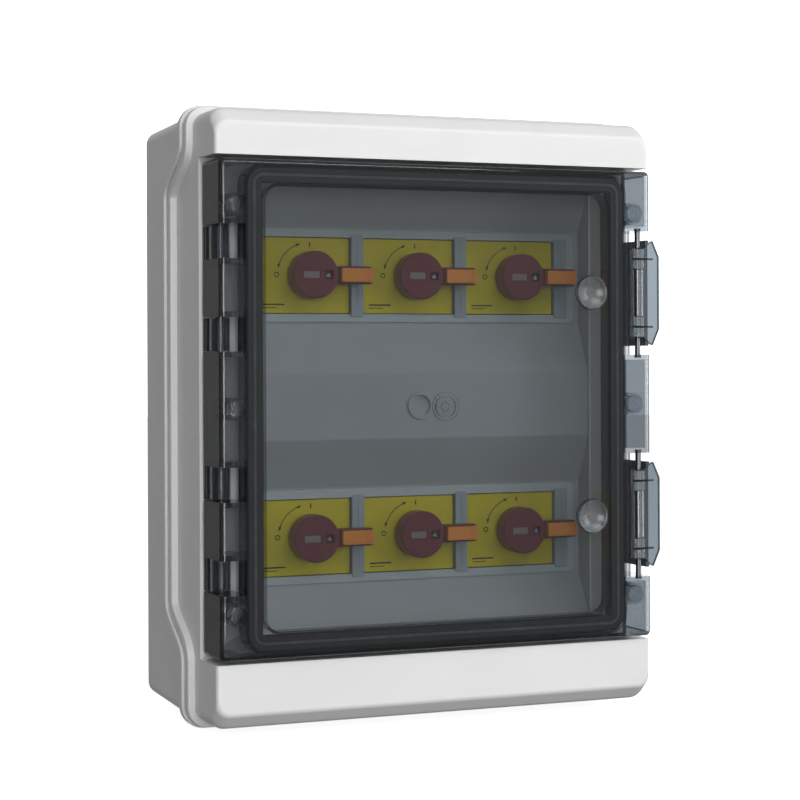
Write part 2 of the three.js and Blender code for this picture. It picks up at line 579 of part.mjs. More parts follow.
function makeDoor() {
  const front = fromFront(-DOOR_PROUD);
  const edge = DOOR_EDGE_RADIUS;
  const section = (y, shrink) => ({
    y,
    halfWidth: DOOR_HALF - shrink,
    top: DOOR_TOP - shrink,
    bottom: DOOR_BOTTOM + shrink,
    radius: edge,
  });
  const rounded = [0, 30, 60, 90].map((degrees) => {
    const angle = degrees * Math.PI / 180;
    return section(front + edge * (1 - Math.sin(angle)), edge * (1 - Math.cos(angle)));
  }).reverse();
  const outside = loft([...rounded, section(fromFront(DOOR_SIDE_BACK), 0)]);
  const insideFrom = front + DOOR_SKIN;
  const inside = block(
    -DOOR_HALF + DOOR_WALL, DOOR_HALF - DOOR_WALL, insideFrom, FAR,
    DOOR_BOTTOM + DOOR_WALL, DOOR_TOP - DOOR_WALL,
  );
  let door = outside.subtract(inside);

  const channel = ringBlock(
    CHANNEL_OUT_X, CHANNEL_OUT_Z, CHANNEL_WALL, insideFrom - 1, fromFront(CHANNEL_BACK), CHANNEL_RADIUS,
  );
  const innerX = CHANNEL_OUT_X - CHANNEL_WALL - DOOR_SEAL_WIDTH;
  const innerZ = CHANNEL_OUT_Z - CHANNEL_WALL - DOOR_SEAL_WIDTH;
  const innerWall = ringBlock(
    innerX, innerZ, CHANNEL_WALL, insideFrom - 1, fromFront(CHANNEL_BACK - 3),
    CHANNEL_RADIUS - CHANNEL_WALL,
  );
  door = joined([door, channel, innerWall]);

  const endWall = DOOR_WALL + 0.5;
  const endTrims = [[DOOR_BOTTOM - 1, DOOR_BOTTOM + endWall], [DOOR_TOP - endWall, DOOR_TOP + 1]];
  for (const [low, high] of endTrims) {
    door = door.subtract(block(-CHANNEL_OUT_X, CHANNEL_OUT_X, fromFront(CHANNEL_BACK), FAR, low, high));
  }

  const parts = [];
  for (const [x, z] of screwPlaces) {
    parts.push(bar('y', TUBE_RADIUS, insideFrom - 1, fromFront(TUBE_BACK), x, z));
  }
  const lugAt = (side, z0, z1) => {
    const x0 = side < 0 ? -DOOR_HALF + 1 : CHANNEL_OUT_X - 1;
    const x1 = side < 0 ? -CHANNEL_OUT_X + 1 : DOOR_HALF - 1;
    parts.push(block(x0, x1, insideFrom - 1, fromFront(LUG_BACK), z0, z1));
  };
  for (const z of hingeHeights) {
    for (const end of bothSides) {
      const face = z + end * HINGE_HEIGHT / 2;
      lugAt(-1, Math.min(face, face + end * LUG_THICKNESS), Math.max(face, face + end * LUG_THICKNESS));
    }
  }
  for (const z of latchHeights) {
    for (const end of bothSides) {
      const face = z + end * latchZone / 2;
      lugAt(1, Math.min(face, face + end * LUG_THICKNESS), Math.max(face, face + end * LUG_THICKNESS));
    }
  }
  for (const z of latchHeights) {
    const x = DOOR_HALF - DIMPLE_IN;
    const dome = new THREE.SphereGeometry(dimpleSphere() + DOOR_SKIN, 14, 10);
    const cap = solid(dome.translate(x, front - dimpleSphere() + DIMPLE_DEPTH, z));
    const trim = block(x - 30, x + 30, insideFrom - 1, FAR, z - 30, z + 30);
    parts.push(cap.intersect(trim));
  }
  parts.push(bar('y', BOSS_RADIUS, front - BOSS_HEIGHT, insideFrom, 0, DOOR_CENTRE, 20));
  door = joined([door, ...parts]);

  const cuts = [];
  for (const z of hingeHeights) cuts.push(flangeNotch(-1, -CHANNEL_OUT_X, z, HINGE_HEIGHT));
  for (const z of latchHeights) cuts.push(flangeNotch(1, latchNotchX, z, latchZone));
  for (const [x, z] of screwPlaces) cuts.push(bar('y', TUBE_BORE, -FAR, FAR, x, z));
  const hingeBore = TRUNNION_RADIUS + PIN_CLEARANCE;
  for (const z of hingeHeights) {
    const reach = HINGE_HEIGHT / 2 + LUG_THICKNESS + 1;
    cuts.push(bar('z', hingeBore, z - reach, z + reach, HINGE_X, fromFront(HINGE_AXIS_DEPTH), 12));
  }
  for (const z of latchHeights) {
    const reach = latchZone / 2 + LUG_THICKNESS - 1;
    const latchBore = LATCH_PIN_RADIUS + FIT;
    cuts.push(bar('z', latchBore, z - reach, z + reach, LATCH_X, fromFront(LATCH_AXIS_DEPTH), 12));
  }
  for (const z of latchHeights) {
    const bowl = new THREE.SphereGeometry(dimpleSphere(), 20, 16);
    cuts.push(solid(bowl.translate(DOOR_HALF - DIMPLE_IN, front - dimpleSphere() + DIMPLE_DEPTH, z)));
  }
  cuts.push(bar('y', BOSS_RADIUS - 2, -FAR, front + 0.8, 0, DOOR_CENTRE, 20));
  return door.subtract(joined(cuts));
}

// Radius of the ball that leaves a dimple of the stated width and depth.
function dimpleSphere() {
  return (DIMPLE_RADIUS ** 2 + DIMPLE_DEPTH ** 2) / (2 * DIMPLE_DEPTH);
}

function makeDoorSeal() {
  const out = CHANNEL_WALL + FIT;
  return ringBlock(
    CHANNEL_OUT_X - out, CHANNEL_OUT_Z - out, DOOR_SEAL_WIDTH - 2 * FIT,
    fromFront(-DOOR_PROUD) + DOOR_SKIN + FIT, fromFront(DOOR_SEAL_BACK), CHANNEL_RADIUS - out,
  );
}

// A hinge clip stands on the landing and holds the door on two short trunnions. Centred on its height.
function makeHingeClip() {
  const axisY = fromFront(HINGE_AXIS_DEPTH);
  const foot = fromFront(LANDING_DEPTH - FIT);
  const half = HINGE_HEIGHT / 2 - FIT;
  const knuckle = bar('z', KNUCKLE_RADIUS, -half, half, HINGE_X, axisY);
  const reach = half + TRUNNION_LENGTH;
  const trunnion = bar('z', TRUNNION_RADIUS, -reach, reach, HINGE_X, axisY, 10);
  const arm = block(HINGE_X - KNUCKLE_RADIUS, HINGE_X + 3, axisY, foot, -half, half);
  const toe = block(HINGE_X - KNUCKLE_RADIUS - 1.6, HINGE_X + 9, foot - 3, foot, -half, half);
  return joined([knuckle, trunnion, arm, toe]);
}

// A latch swings about its pin. A finger lifts its wing, and its leg reaches back to the catch.
// Centred on its height.
function makeLatch() {
  const y = fromFront(LATCH_AXIS_DEPTH);
  const half = LATCH_LENGTH / 2;
  const hubHalf = half - LATCH_END;
  const face = fromFront(-DOOR_PROUD);
  const wingInner = LATCH_X + LATCH_PIN_RADIUS;
  const wingOuter = LATCH_X + LATCH_WING;
  const shoulder = half - LATCH_WING_CHAMFER;
  const wing = slab(outline([
    [wingInner, -hubHalf], [wingOuter - LATCH_WING_CORNER, -half], [wingOuter, -shoulder],
    [wingOuter, shoulder], [wingOuter - LATCH_WING_CORNER, half], [wingInner, hubHalf],
  ]), face + 1, face + 1 + LATCH_WING_THICKNESS);
  const knuckle = bar('z', LATCH_KNUCKLE_RADIUS, -hubHalf, hubHalf, LATCH_X, y);
  const legX = LATCH_X + LATCH_LEG_OUT;
  const leg = block(legX, legX + LATCH_LEG, face + 2, fromFront(LANDING_DEPTH - 3), -half, half);
  const web = block(LATCH_X, legX + 1, face + 2, y + 1, -hubHalf, hubHalf);
  const tabX = LATCH_X + LATCH_PIN_RADIUS + 0.5;
  const parts = [wing, knuckle, leg, web];
  for (const end of bothSides) {
    const [low, high] = [end * hubHalf, end * (hubHalf - LATCH_TAB)].sort((a, b) => a - b);
    parts.push(block(tabX - LATCH_TAB_WIDTH, tabX, face, y, low, high));
  }
  const cuts = [bar('z', LATCH_PIN_RADIUS + PIN_CLEARANCE, -half, half, LATCH_X, y, 12)];
  for (const end of bothSides) {
    const z = end * (hubHalf - LATCH_TAB / 2);
    const groove = LATCH_TAB_GROOVE / 2;
    cuts.push(block(LATCH_X - FAR, wingOuter - LATCH_WING_CORNER, -FAR, face + 1.6, z - groove, z + groove));
  }
  return joined(parts).subtract(joined(cuts));
}

function makeLatchPin() {
  const reach = latchZone / 2 + LUG_THICKNESS - 1.4;
  return bar('z', LATCH_PIN_RADIUS, -reach, reach, 0, 0, 12);
}

function makeCoverScrew() {
  const seat = fromFront(LANDING_DEPTH + WALL) + SCREW_HEAD_HEIGHT / 2 - FIT;
  const top = seat - SCREW_HEAD_HEIGHT;
  const head = bar('y', SCREW_HEAD_RADIUS, top, seat, 0, 0, 12);
  const shank = bar('y', SCREW_SHANK_RADIUS, seat - 1, fromFront(LANDING_DEPTH + SCREW_LENGTH), 0, 0, 8);
  const across = SCREW_HEAD_RADIUS - 1.4;
  const slotWide = block(-across, across, top - 1, top + 1.6, -0.6, 0.6);
  const slotTall = block(-0.6, 0.6, top - 1, top + 1.6, -across, across);
  return head.add(shank).subtract(slotWide.add(slotTall));
}

// ---------------------------------------------------------------- rails and terminal bar
function makeRail() {
  const face = fromFront(RAIL_FACE_DEPTH);
  const foot = face + RAIL_HEIGHT;
  const t = RAIL_THICKNESS;
  const half = RAIL_WIDTH / 2;
  const inner = half - RAIL_LIP;
  const hat = outline([
    [face, -half], [face + t, -half], [face + t, -inner], [foot, -inner],
    [foot, inner], [face + t, inner], [face + t, half], [face, half],
    [face, inner - t], [foot - t, inner - t], [foot - t, t - inner], [face, t - inner],
  ]);
  let rail = length(hat, -RAIL_LENGTH / 2, RAIL_LENGTH / 2);
  for (const x of [-railScrewX, railScrewX]) {
    rail = rail.subtract(bar('y', RAIL_SCREW_RADIUS + 1, -FAR, 0, x, 0, 10));
  }
  return rail;
}

function makeRailScrew() {
  const seat = fromFront(RAIL_FACE_DEPTH + RAIL_HEIGHT) - RAIL_THICKNESS - FIT;
  const top = seat - RAIL_SCREW_HEAD_HEIGHT;
  const head = bar('y', RAIL_SCREW_HEAD_RADIUS, top, seat, 0, 0, 10);
  const shank = bar('y', RAIL_SCREW_RADIUS, seat - 1, seat + RAIL_SCREW_LENGTH, 0, 0, 6);
  return head.add(shank).subtract(block(-2.4, 2.4, top - 1, top + 1, -0.5, 0.5));
}

const barLevel = BAR_FROM_BOTTOM - HALF_HEIGHT;

function makeBarHolder() {
  const half = BAR_LENGTH / 2;
  const foot = -WALL - FIT;
  const tall = BAR_HEIGHT / 2 + 2.5;
  const postFront = foot - HOLDER_FOOT - BAR_THICKNESS;
  return block(-half, half, foot - HOLDER_FOOT, foot, barLevel - tall, barLevel + tall)
    .add(block(-half, HOLDER_POST - half, postFront, foot, barLevel - tall, barLevel + tall))
    .add(block(half - HOLDER_POST, half, postFront, foot, barLevel - tall, barLevel + tall));
}

function makeTerminalBar() {
  const half = BAR_LENGTH / 2 - HOLDER_POST - FIT;
  const back = -WALL - FIT - HOLDER_FOOT - FIT;
  const front = back - BAR_THICKNESS;
  let brass = block(-half, half, front, back, barLevel - BAR_HEIGHT / 2, barLevel + BAR_HEIGHT / 2);
  for (let place = -BAR_HOLES_EACH_SIDE; place <= BAR_HOLES_EACH_SIDE; place += 1) {
    const x = place * BAR_HOLE_PITCH;
    brass = brass.subtract(bar('y', BAR_HOLE_RADIUS, front - 1, back - 3, x, barLevel, 6));
  }
  return brass;
}

// ---------------------------------------------------------------- isolators and blanking strips
const isolatorPitch = ISOLATOR_WIDTH + STRIP_WIDTH;
const firstIsolatorX = -WINDOW_WIDTH / 2 + FIRST_STRIP_WIDTH + ISOLATOR_WIDTH / 2;
const plateFront = fromFront(ROW_DEPTH);

function makeIsolatorBody() {
  const half = ISOLATOR_WIDTH / 2 - MODULE_GAP;
  const nose = WINDOW_HEIGHT / 2 - MODULE_GAP;
  const front = plateFront + PLATE_THICKNESS + FIT;
  const shoulder = plateFront + NOSE_DEPTH;
  const back = fromFront(RAIL_FACE_DEPTH) - FIT;
  const hook = RAIL_WIDTH / 2;
  const tall = MODULE_HEIGHT / 2;
  const section = outline([
    [front, -nose], [shoulder, -nose], [shoulder, -tall], [back - 2, -tall], [back - 2, -hook - 6],
    [back + 4, -hook - 6], [back + 4, -hook - FIT], [back, -hook - FIT],
    [back, hook + FIT], [back + 4, hook + FIT], [back + 4, hook + 6], [back - 2, hook + 6],
    [back - 2, tall], [shoulder, tall], [shoulder, nose], [front, nose],
  ]);
  let body = length(section, -half, half);
  body = body.subtract(bar('y', SPINDLE_RADIUS + FIT, -FAR, front + 12, KNOB_OFF_CENTRE, 0, 10));
  for (const end of bothSides) {
    for (const pole of [-1.5, -0.5, 0.5, 1.5]) {
      const x = pole * POLE_PITCH;
      const sides = [x - POLE_MOUTH / 2, x + POLE_MOUTH / 2];
      const depths = [shoulder + POLE_MOUTH, shoulder + POLE_MOUTH * 2];
      body = body.subtract(block(...sides, ...depths, end * tall - POLE_MOUTH, end * tall + POLE_MOUTH));
    }
  }
  return body;
}

function makeIsolatorPlate() {
  const half = ISOLATOR_WIDTH / 2 - MODULE_GAP;
  const tall = WINDOW_HEIGHT / 2 - MODULE_GAP;
  return slab(roundedOutline(-half, half, -tall, tall, 0.8), plateFront, plateFront + PLATE_THICKNESS, 2)
    .subtract(bar('y', SPINDLE_RADIUS + FIT, -FAR, 0, KNOB_OFF_CENTRE, 0, 10));
}

// The knob is centred on its own axis and rests with its lever to the right, which is off.
function makeKnob() {
  const discBack = plateFront - FIT;
  const discFront = discBack - KNOB_HEIGHT;
  const leverFront = discFront - LEVER_THICKNESS;
  const disc = bar('y', KNOB_RADIUS, discFront, discBack, 0, 0, 24);
  const spindle = bar('y', SPINDLE_RADIUS, discBack - 1, plateFront + 10, 0, 0, 10);
  const root = LEVER_ROOT / 2;
  const tip = LEVER_TIP / 2;
  const lever = slab(outline([
    [-KNOB_RADIUS * 0.72, -root * 0.8], [0, -root], [KNOB_RADIUS, -root], [LEVER_REACH - 1, -tip],
    [LEVER_REACH, 1 - tip], [LEVER_REACH, tip - 1], [LEVER_REACH - 1, tip], [KNOB_RADIUS, root], [0, root],
    [-KNOB_RADIUS * 0.72, root * 0.8],
  ]), leverFront, discFront + 0.4);
  const lockHole = block(
    LOCK_HOLE_FROM, LOCK_HOLE_FROM + LOCK_HOLE, leverFront - 1, discFront - 1, -LOCK_HOLE / 2, LOCK_HOLE / 2,
  );
  const slideWay = block(
    SLIDE_FROM - FIT, FAR, leverFront - 1, leverFront + LEVER_THICKNESS * 0.6,
    -SLIDE_WIDTH / 2 - FIT, SLIDE_WIDTH / 2 + FIT,
  );
  return joined([disc, spindle, lever]).subtract(lockHole).subtract(slideWay);
}

function makeLockSlide() {
  const leverFront = plateFront - FIT - KNOB_HEIGHT - LEVER_THICKNESS;
  const floor = leverFront + LEVER_THICKNESS * 0.6 - FIT;
  const half = SLIDE_WIDTH / 2;
  const end = SLIDE_FROM + SLIDE_LENGTH;
  return slab(roundedOutline(SLIDE_FROM, end, -half, half, 0.8), leverFront - SLIDE_PROUD, floor, 2);
}

function makeStrip(width) {
  const half = width / 2 - FIT;
  const tall = WINDOW_HEIGHT / 2 + 1.6;
  const face = fromFront(ROW_DEPTH - RIM_HEIGHT);
  const back = fromFront(ROW_DEPTH + FASCIA_WALL);
  const nose = WINDOW_HEIGHT / 2 - FIT;
  return block(-half, half, face - 1.2, face - FIT, -tall, tall)
    .add(block(-half, half, face - 1, back + 1, -nose, nose));
}

// ---------------------------------------------------------------- putting it together
add('base_box', makeBase(), GREY);
add('front_cover', makeCover(), GREY);
add('cover_seal', makeCoverSeal(), BLACK_RUBBER);
add('door', makeDoor(), SMOKED);
add('door_seal', makeDoorSeal(), BLACK_RUBBER);

const hingeClip = makeHingeClip();
hingeHeights.forEach((z, i) => add(`hinge_clip_${i + 1}`, hingeClip, SMOKED, [0, 0, z]));

const latch = makeLatch();
const latchPin = makeLatchPin();
latchHeights.forEach((z, i) => {
  add(`latch_${i + 1}`, latch, SMOKED, [0, 0, z]);
  add(`latch_pin_${i + 1}`, latchPin, ZINC, [LATCH_X, fromFront(LATCH_AXIS_DEPTH), z]);
});

const coverScrew = makeCoverScrew();
screwPlaces.forEach(([x, z], i) => add(`cover_screw_${i + 1}`, coverScrew, ZINC, [x, 0, z]));

const rail = makeRail();
const railScrew = makeRailScrew();
rowHeights.forEach((z, row) => {
  add(`din_rail_${row + 1}`, rail, ZINC, [0, 0, z]);
  bothSides.forEach((side, i) => {
    add(`rail_screw_${row * 2 + i + 1}`, railScrew, ZINC, [side * railScrewX, 0, z]);
  });
});
add('terminal_holder', makeBarHolder(), TERMINAL_GREEN);
add('terminal_bar', makeTerminalBar(), BRASS);

const isolatorBody = makeIsolatorBody();
const isolatorPlate = makeIsolatorPlate();
const knob = makeKnob();
const lockSlide = makeLockSlide();
rowHeights.forEach((z, row) => {
  let stripFrom = -WINDOW_WIDTH / 2;
  for (let place = 0; place <= ISOLATORS_PER_ROW; place += 1) {
    const last = place === ISOLATORS_PER_ROW;
    const isolatorX = firstIsolatorX + place * isolatorPitch;
    const stripTo = last ? WINDOW_WIDTH / 2 : isolatorX - ISOLATOR_WIDTH / 2;
    const stripName = `blank_strip_${row * (ISOLATORS_PER_ROW + 1) + place + 1}`;
    add(stripName, makeStrip(stripTo - stripFrom), MODULE_GREY, [(stripFrom + stripTo) / 2, 0, z]);
    stripFrom = stripTo + ISOLATOR_WIDTH;
    if (!last) {
      const number = row * ISOLATORS_PER_ROW + place + 1;
      const knobX = isolatorX + KNOB_OFF_CENTRE;
      add(`isolator_body_${number}`, isolatorBody, MODULE_GREY, [isolatorX, 0, z]);
      add(`isolator_plate_${number}`, isolatorPlate, YELLOW, [isolatorX, 0, z]);
      add(`isolator_knob_${number}`, knob, RED, [knobX, 0, z]);
      add(`lock_slide_${number}`, lockSlide, ORANGE, [knobX, 0, z]);
    }
  }
});

export default box;
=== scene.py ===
import json
import math

import bmesh
import bpy
from mathutils import Matrix, Vector


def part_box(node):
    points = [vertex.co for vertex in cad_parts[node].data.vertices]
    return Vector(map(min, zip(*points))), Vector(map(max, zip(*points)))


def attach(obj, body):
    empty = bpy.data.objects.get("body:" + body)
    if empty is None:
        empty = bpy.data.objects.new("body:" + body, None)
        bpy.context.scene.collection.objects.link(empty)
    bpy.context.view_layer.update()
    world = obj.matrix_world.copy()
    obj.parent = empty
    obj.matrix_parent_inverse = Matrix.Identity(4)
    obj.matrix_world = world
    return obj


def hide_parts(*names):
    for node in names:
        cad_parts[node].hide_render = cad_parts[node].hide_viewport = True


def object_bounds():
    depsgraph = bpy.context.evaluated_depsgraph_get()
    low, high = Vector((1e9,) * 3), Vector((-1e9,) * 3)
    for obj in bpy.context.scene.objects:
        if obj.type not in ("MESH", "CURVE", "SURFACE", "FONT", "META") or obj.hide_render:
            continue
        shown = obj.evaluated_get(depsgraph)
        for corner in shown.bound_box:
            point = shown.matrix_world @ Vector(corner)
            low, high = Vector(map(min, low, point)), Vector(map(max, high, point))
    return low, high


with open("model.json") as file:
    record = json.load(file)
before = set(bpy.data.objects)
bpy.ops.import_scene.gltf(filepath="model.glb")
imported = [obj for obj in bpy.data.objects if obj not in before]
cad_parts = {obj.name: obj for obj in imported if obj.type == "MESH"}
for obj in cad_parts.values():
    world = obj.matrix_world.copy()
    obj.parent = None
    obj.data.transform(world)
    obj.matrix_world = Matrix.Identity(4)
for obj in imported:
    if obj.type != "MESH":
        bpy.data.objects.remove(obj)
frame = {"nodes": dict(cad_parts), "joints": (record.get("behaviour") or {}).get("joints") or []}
cad_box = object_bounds()

# Pieces are drawn in millimetres and scaled to metres when they are handed over.
MM = 0.001

# ------------------------------------------------------------------ sizes of the enclosure
WALL = 3.0
CORNER = 8.0
BASE_DRAFT = 1.5
TOP_BAND = 27.0
BOTTOM_BAND = 37.3
BEVEL_HEIGHT = 8.6
BEVEL_DEPTH = 9.3
FRONT_EDGE = 2.2
PARTING_SIDE = 78.5
PARTING_END = 46.5
SWEEP_LENGTH = 30.0
SWEEP_TOP = 47.0
SWEEP_BOTTOM = 65.0
COVER_FLANGE = 4.0
BASE_FLANGE = 5.4
FLANGE_DEPTH = 6.0
SEAL_THICKNESS = 1.2
GAP = 0.3
LANDING = 29.5
DOOR_PROUD = 5.0
DOOR_SKIN = 2.8
DOOR_WALL = 2.6
DOOR_EDGE = 3.0
SIDE_FLANGE = 15.3
CHANNEL_WALL = 1.8
CHANNEL_BACK = 10.0
CHANNEL_RADIUS = 12.0
SEAL_WIDTH = 9.0
SEAL_BACK = 8.0
RIB_WIDTH = 2.8
TUBE_RADIUS = 6.6
TUBE_BORE = 5.2
TUBE_BACK = 24.0
SCREW_HEAD = 4.4
KNUCKLE = 5.0
HINGE_HEIGHT = 19.5
LUG = 3.0
LATCH_LENGTH = 64.0
LATCH_ZONE = 74.6
LATCH_KNUCKLE = 4.2
DIMPLE_IN = 39.5
HINGE_BORE = 2.55
PIN_BORE = 2.0
GATE_REACH = 5.6                 # the moulding gate's cross in the door's boss
GATE_HALF = 0.7
SLAB = 30                        # half of a block that a dimple's lining is kept from
SCREW_SHANK = 2.2
DIMPLE_RADIUS = 9.7
DIMPLE_DEPTH = 3.4
BOSS_RADIUS = 8.4
ROW_DEPTH = 44.0
ROW_LAND = 57.0
CREST_DEPTH = 31.0
CREST_HEIGHT = 39.0
FASCIA_WALL = 2.8
WINDOW_WIDTH = 208.0
WINDOW_HEIGHT = 45.4
RIM_WIDTH = 4.8
RIM_HEIGHT = 1.2
KNOB_RADIUS = 14.0
KNOB_HEIGHT = 11.0
LEVER_SUNK = 1.0
LEVER_THICKNESS = 6.0
LEVER_REACH = 35.8
SLIDE_FROM = 14.6
SLIDE_WIDTH = 8.2
FAR = 400.0


def span(node):
    """A node's lowest and highest corners, in millimetres."""
    low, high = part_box(node)
    return low / MM, high / MM


base_high = span("base_box")[1]
door_low, door_high = span("door")
HALF_WIDTH = base_high.x - BASE_FLANGE
HALF_HEIGHT = base_high.z - BASE_FLANGE
FRONT = door_low.y + DOOR_PROUD + 1.4
RECESS_TOP = HALF_HEIGHT - TOP_BAND
RECESS_BOTTOM = BOTTOM_BAND - HALF_HEIGHT
DOOR_TOP = door_high.z
DOOR_BOTTOM = door_low.z
DOOR_CENTRE = (DOOR_TOP + DOOR_BOTTOM) / 2
DOOR_TALL = (DOOR_TOP - DOOR_BOTTOM) / 2
DOOR_HALF = door_high.x
CHANNEL_X = DOOR_HALF - SIDE_FLANGE
CHANNEL_Z = DOOR_TALL - DOOR_WALL
PAN_X = CHANNEL_X - CHANNEL_WALL - SEAL_WIDTH / 2 - RIB_WIDTH / 2 - 1
DOOR_FACE = FRONT - DOOR_PROUD
PARTING_GAP = SEAL_THICKNESS + 2 * GAP


def joint_place(name):
    place = next(joint for joint in frame["joints"] if joint["name"] == name)["pos_m"]
    return Vector(place) / MM


def middle(node):
    low, high = span(node)
    return (low + high) / 2


HINGE = joint_place("door_hinge")
latch_places = [joint_place(f"latch_{n}_swing") for n in (1, 2)]
knob_places = [joint_place(f"knob_{n}_turn") for n in range(1, 7)]
row_heights = [knob_places[0].z, knob_places[3].z]
hinge_heights = [middle(f"hinge_clip_{n}").z for n in range(1, 5)]
screw_places = [middle(f"cover_screw_{n}") for n in range(1, 7)]


def behind(depth):
    """Where a depth behind the two bands lies."""
    return FRONT + depth


# ------------------------------------------------------------------ words for shader maths
class Value:
    """A socket, so that shader maths reads as plain arithmetic."""

    def __init__(self, look, socket):
        self.look = look
        self.socket = socket

    def maths(self, operation, first, second):
        return self.look.node("ShaderNodeMath", {"operation": operation}, {0: first, 1: second})

    def __add__(self, other):
        return self.maths("ADD", self, other)

    def __radd__(self, other):
        return self.maths("ADD", other, self)

    def __sub__(self, other):
        return self.maths("SUBTRACT", self, other)

    def __rsub__(self, other):
        return self.maths("SUBTRACT", other, self)

    def __mul__(self, other):
        return self.maths("MULTIPLY", self, other)

    def __rmul__(self, other):
        return self.maths("MULTIPLY", other, self)

    def __pow__(self, other):
        return self.maths("POWER", self, other)


class Look:
    """A finish being made: it adds nodes and hands back their sockets."""

    def __init__(self, name):
        self.material = bpy.data.materials.new(name)
        self.material.use_nodes = True
        self.tree = self.material.node_tree
        self.tree.nodes.clear()

    def node(self, kind, settings=None, sockets=None, out=0):
        node = self.tree.nodes.new(kind)
        for name, value in (settings or {}).items():
            if name == "stops":
                while len(node.color_ramp.elements) < len(value):
                    node.color_ramp.elements.new(0.5)
                for element, (place, tone) in zip(node.color_ramp.elements, value):
                    element.position = place
                    element.color = (tone, tone, tone, 1)
            else:
                setattr(node, name, value)
        for name, value in (sockets or {}).items():
            if isinstance(value, Value):
                self.tree.links.new(value.socket, node.inputs[name])
            else:
                node.inputs[name].default_value = value
        return Value(self, node.outputs[out]) if node.outputs else None

    def place(self):
        return self.node("ShaderNodeTexCoord", out="Object")

    def noise(self, size, detail=3.0, roughness=0.55):
        """Soft noise whose patches are about this many millimetres across."""
        sockets = {"Vector": self.place(), "Scale": 1000 / size, "Detail": detail, "Roughness": roughness}
        return self.node("ShaderNodeTexNoise", {"noise_dimensions": "3D"}, sockets)

    def ramp(self, value, *stops):
        return self.node("ShaderNodeValToRGB", {"stops": stops}, {"Fac": value})

    def between(self, first, second, share):
        """One colour turning into another as share goes from 0 to 1."""
        sockets = {0: share, 6: first, 7: second}
        return self.node("ShaderNodeMix", {"data_type": "RGBA"}, sockets, out=2)

    def relief(self, height, depth, strength=1.0):
        """A bump of this many millimetres."""
        sockets = {"Strength": strength, "Distance": depth * MM, "Height": height}
        return self.node("ShaderNodeBump", None, sockets)

    def solid(self, sockets):
        return self.node("ShaderNodeBsdfPrincipled", None, sockets)

    def done(self, shader):
        self.node("ShaderNodeOutputMaterial", None, {"Surface": shader})
        return self.material


def rgb(red, green, blue):
    return (red, green, blue, 1.0)


def tinted(colour, amount):
    return rgb(*(min(1.0, part * amount) for part in colour[:3]))


# ------------------------------------------------------------------ finishes
def moulded(name, colour, roughness, grain_size=0.55, grain_depth=0.03, shade=0.05):
    """Moulded plastic: fine spark-eroded grain, faint flow clouds and a few handling marks."""
    look = Look(name)
    grain = look.noise(grain_size, 2)
    flow = look.noise(45, 4)
    marks = look.ramp(look.noise(7, 6, 0.7), (0.60, 0.0), (0.74, 1.0))
    tone = look.between(tinted(colour, 1 - shade), tinted(colour, 1 + shade), flow)
    sockets = {
        "Base Color": look.between(tone, tinted(colour, 0.93), marks * 0.5),
        "Roughness": (flow - 0.5) * 0.10 + (grain - 0.5) * 0.08 + marks * 0.05 + roughness,
        "Normal": look.relief(grain, grain_depth),
    }
    return look.done(look.solid(sockets))


def smoked_film(name, tint, haze, haze_colour, polish=0.035):
    """Smoked polycarbonate: it tints what shows through, mirrors at a slant and carries a thin haze."""
    look = Look(name)
    wave = look.noise(60, 2)
    wipe = look.ramp(look.noise(22, 5, 0.65), (0.35, 0.0), (0.8, 1.0))
    slant = look.node("ShaderNodeLayerWeight", None, {"Blend": 0.5}, out="Facing")
    clear = look.node("ShaderNodeBsdfTransparent", None, {"Color": tint})
    bump = look.relief(wave, 0.25)
    gloss = look.solid({
        "Base Color": rgb(1, 1, 1),
        "Metallic": 1.0,
        "Roughness": wipe * 0.05 + polish,
        "Normal": bump,
    })
    sheet = look.node("ShaderNodeMixShader", None, {0: 0.04 + 0.9 * slant ** 5, 1: clear, 2: gloss})
    dull = look.node("ShaderNodeBsdfDiffuse", None, {"Color": haze_colour})
    film = look.node("ShaderNodeMixShader", None, {0: wipe * (haze * 0.35) + haze, 1: sheet, 2: dull})
    return look.done(film)


def rubber_finish(name, tone):
    look = Look(name)
    pores = look.noise(0.8, 3)
    dust = look.ramp(look.noise(9, 6, 0.7), (0.5, 0.0), (0.85, 1.0))
    clean = rgb(tone, tone, tone * 1.1)
    dusty = rgb(tone * 2.4, tone * 2.4, tone * 2.5)
    return look.done(look.solid({
        "Base Color": look.between(clean, dusty, dust),
        "Roughness": dust * 0.15 + 0.52,
        "Normal": look.relief(pores, 0.05),
    }))


def plated(name, colour, roughness):
    """Plated or drawn metal: cloudy brightness and fine pits."""
    look = Look(name)
    cloud = look.noise(4, 5, 0.65)
    pits = look.noise(0.35, 2)
    return look.done(look.solid({
        "Base Color": look.between(tinted(colour, 0.78), tinted(colour, 1.1), cloud),
        "Metallic": 1.0,
        "Roughness": cloud * 0.22 + roughness,
        "Normal": look.relief(pits, 0.02),
    }))


def printed_plate():
    """The isolators' yellow plates: a satin sheet with a trace of rubbing."""
    look = Look("yellow_plate")
    weave = look.noise(0.45, 2)
    rub = look.ramp(look.noise(12, 6, 0.6), (0.45, 0.0), (0.75, 1.0))
    return look.done(look.solid({
        "Base Color": look.between(rgb(0.80, 0.67, 0.018), rgb(0.73, 0.60, 0.03), rub),
        "Roughness": rub * 0.12 + 0.34,
        "Normal": look.relief(weave, 0.012),
    }))


def ink_finish():
    look = Look("black_ink")
    speck = look.ramp(look.noise(0.5, 3), (0.35, 0.0), (0.7, 1.0))
    return look.done(look.solid({
        "Base Color": look.between(rgb(0.02, 0.02, 0.02), rgb(0.07, 0.06, 0.03), speck),
        "Roughness": speck * 0.1 + 0.45,
    }))


